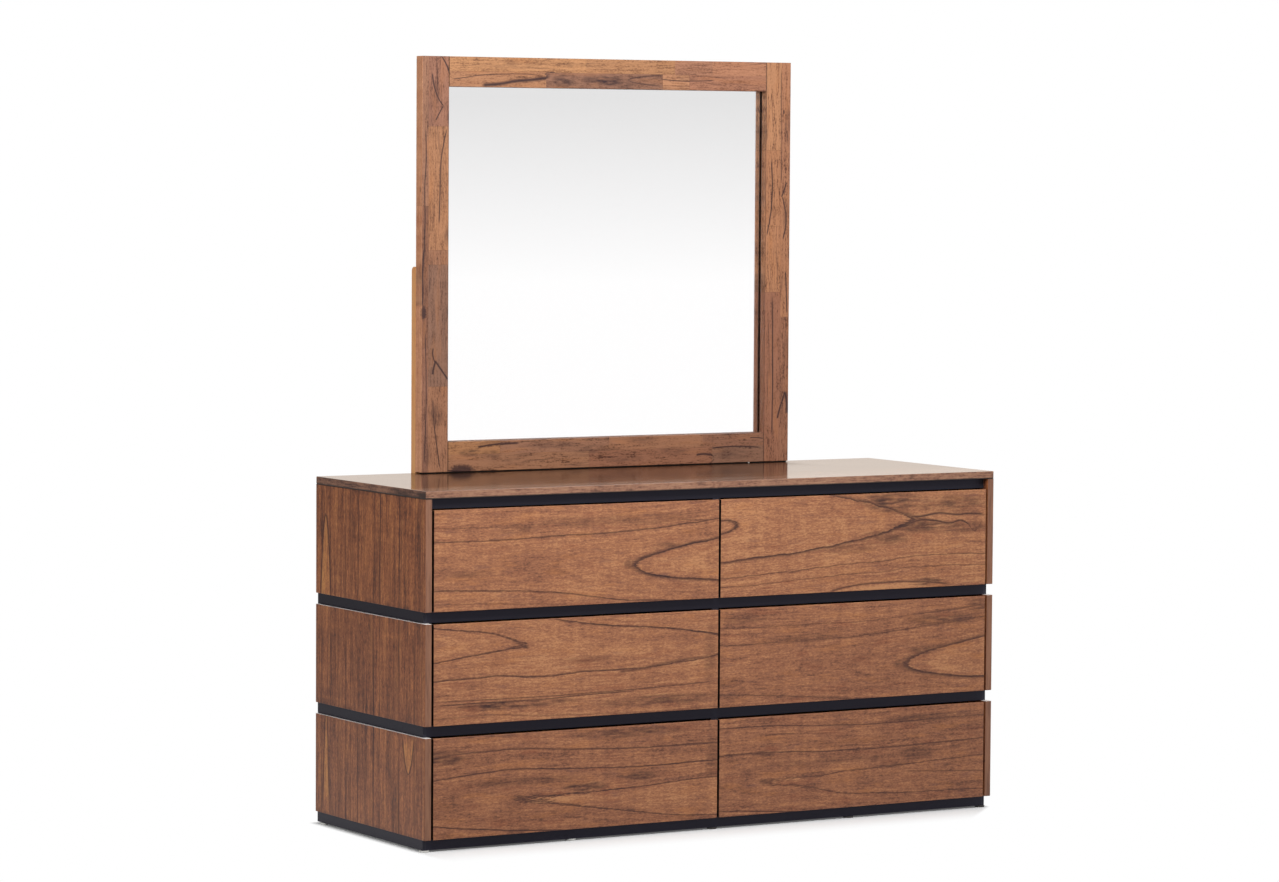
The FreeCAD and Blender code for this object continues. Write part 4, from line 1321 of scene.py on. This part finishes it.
runner_zinc = zinc_finish("runner_zinc", (900, 12, 900))
screw_zinc = zinc_finish("screw_zinc", (240, 240, 240))
give(runner_zinc, "cabinet_runners", *[drawer + "_runners" for drawer in DRAWERS])
give(screw_zinc, "backing_clips", "upright_screws")
# Painted shade: the glides darken from the left end inwards.
give(soft_finish("glide_nylon", (244, 243, 238), (206, 202, 194), 0.4, GLIDE_SHADE_SPAN), "glides")
# The foam's near black partly stands for the shade under the mirror's frame.
give(soft_finish("black_foam", (16, 15, 16), (34, 32, 33), 0.8), "mirror_pads")
print("metal, plastic and rubber done")

# %% [markdown]
# ## Small fixings
# Two kinds of fixing are too small to matter in the CAD model but show when a drawer is open or
# the dresser is seen from behind. Four pan-head screws hold each front to its box, and a row of
# domed pins holds each back panel. Both are turned shapes: a half profile is spun about its
# axis. A ready-made sphere would have no flat under the head, and no recess for the driver.

# %% Turned heads
SCREW_PROFILE = [(0.0, 0.0022), (0.0014, 0.0022), (0.0030, 0.0017), (0.0039, 0.0009), (0.0041, 0.0)]
PIN_PROFILE = [(0.0, 0.0008), (0.0009, 0.0007), (0.0015, 0.0004), (0.0018, 0.0)]
HEAD_SEGMENTS = 24
CROSS_ARM = 0.0019
CROSS_HALF = 0.00035
CROSS_DEPTH = 0.0012


def join_rings(shape, inner, outer):
    """Joins two rings of corners by a band of faces."""
    for i in range(len(inner)):
        after = (i + 1) % len(inner)
        shape.faces.new((inner[i], inner[after], outer[after], outer[i]))


def turned_head(shape, profile, place):
    """Adds a head that stands on a face looking to the back, its axis along +Y."""
    rings = []
    for radius, height in profile[1:]:
        ring = []
        for i in range(HEAD_SEGMENTS):
            turn = 2 * math.pi * i / HEAD_SEGMENTS
            offset = Vector((radius * math.cos(turn), height, radius * math.sin(turn)))
            ring.append(shape.verts.new(place + offset))
        rings.append(ring)
    for inner, outer in zip(rings, rings[1:]):
        join_rings(shape, inner, outer)
    shape.faces.new(rings[-1])
    return rings[0]


def cross_recess(shape, rim, place, top):
    """Closes a screw's head with a sunk cross for the driver."""
    arm, half = CROSS_ARM, CROSS_HALF
    quarter = [(arm, -half), (arm, half), (half, half)]
    outline = []
    for turn in range(4):
        for x, z in quarter:
            for _ in range(turn):
                x, z = -z, x
            outline.append((x, z))
    upper = [shape.verts.new(place + Vector((x * 0.7, top, z * 0.7))) for x, z in outline]
    lower = [shape.verts.new(place + Vector((x * 0.6, top - CROSS_DEPTH, z * 0.6))) for x, z in outline]
    join_rings(shape, upper, lower)
    shape.faces.new(lower)
    edges = [shape.edges.get(pair) for ring in (rim, upper) for pair in zip(ring, ring[1:] + ring[:1])]
    bmesh.ops.triangle_fill(shape, edges=edges, use_beauty=True)


print("a screw head is", 2000 * SCREW_PROFILE[-1][0], "mm across")

# %% Screws behind the fronts
SCREW_SPREAD = 0.19
SCREW_HEIGHTS = (0.045, 0.125)
BOARD = 0.012

for drawer in DRAWERS:
    low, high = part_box(drawer + "_box_ends")
    centre = (low.x + high.x) / 2
    shape = bmesh.new()
    for x in (centre - SCREW_SPREAD, centre + SCREW_SPREAD):
        for rise_up in SCREW_HEIGHTS:
            place = Vector((x, low.y + BOARD, low.z + rise_up))
            rim = turned_head(shape, SCREW_PROFILE, place)
            cross_recess(shape, rim, place, SCREW_PROFILE[1][1])
    new_piece(drawer + "_front_screws", shape, screw_zinc, drawer + "_drawer", smooth=True)
print("screws on", len(DRAWERS), "drawers")

# %% Pins round the back panels
PINS_UP = 3
PIN_INSET = 0.004
PIN_MARGIN = 0.02


def pin_row(start, end, count):
    """Evenly spaced places between two points, ends included."""
    return [start.lerp(end, i / (count - 1)) for i in range(count)]


back_low, back_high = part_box("back_panels")
shape = bmesh.new()
for tier in TIERS:
    side_low, side_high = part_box(tier + "_left_side")
    for x in (back_low.x + PIN_INSET, back_high.x - PIN_INSET):
        lowest = Vector((x, back_high.y, side_low.z + PIN_MARGIN))
        highest = Vector((x, back_high.y, side_high.z - PIN_MARGIN))
        for place in pin_row(lowest, highest, PINS_UP):
            shape.faces.new(turned_head(shape, PIN_PROFILE, place))
new_piece("back_pins", shape, screw_zinc, "root", smooth=True)
print("pins:", 2 * PINS_UP * len(TIERS))
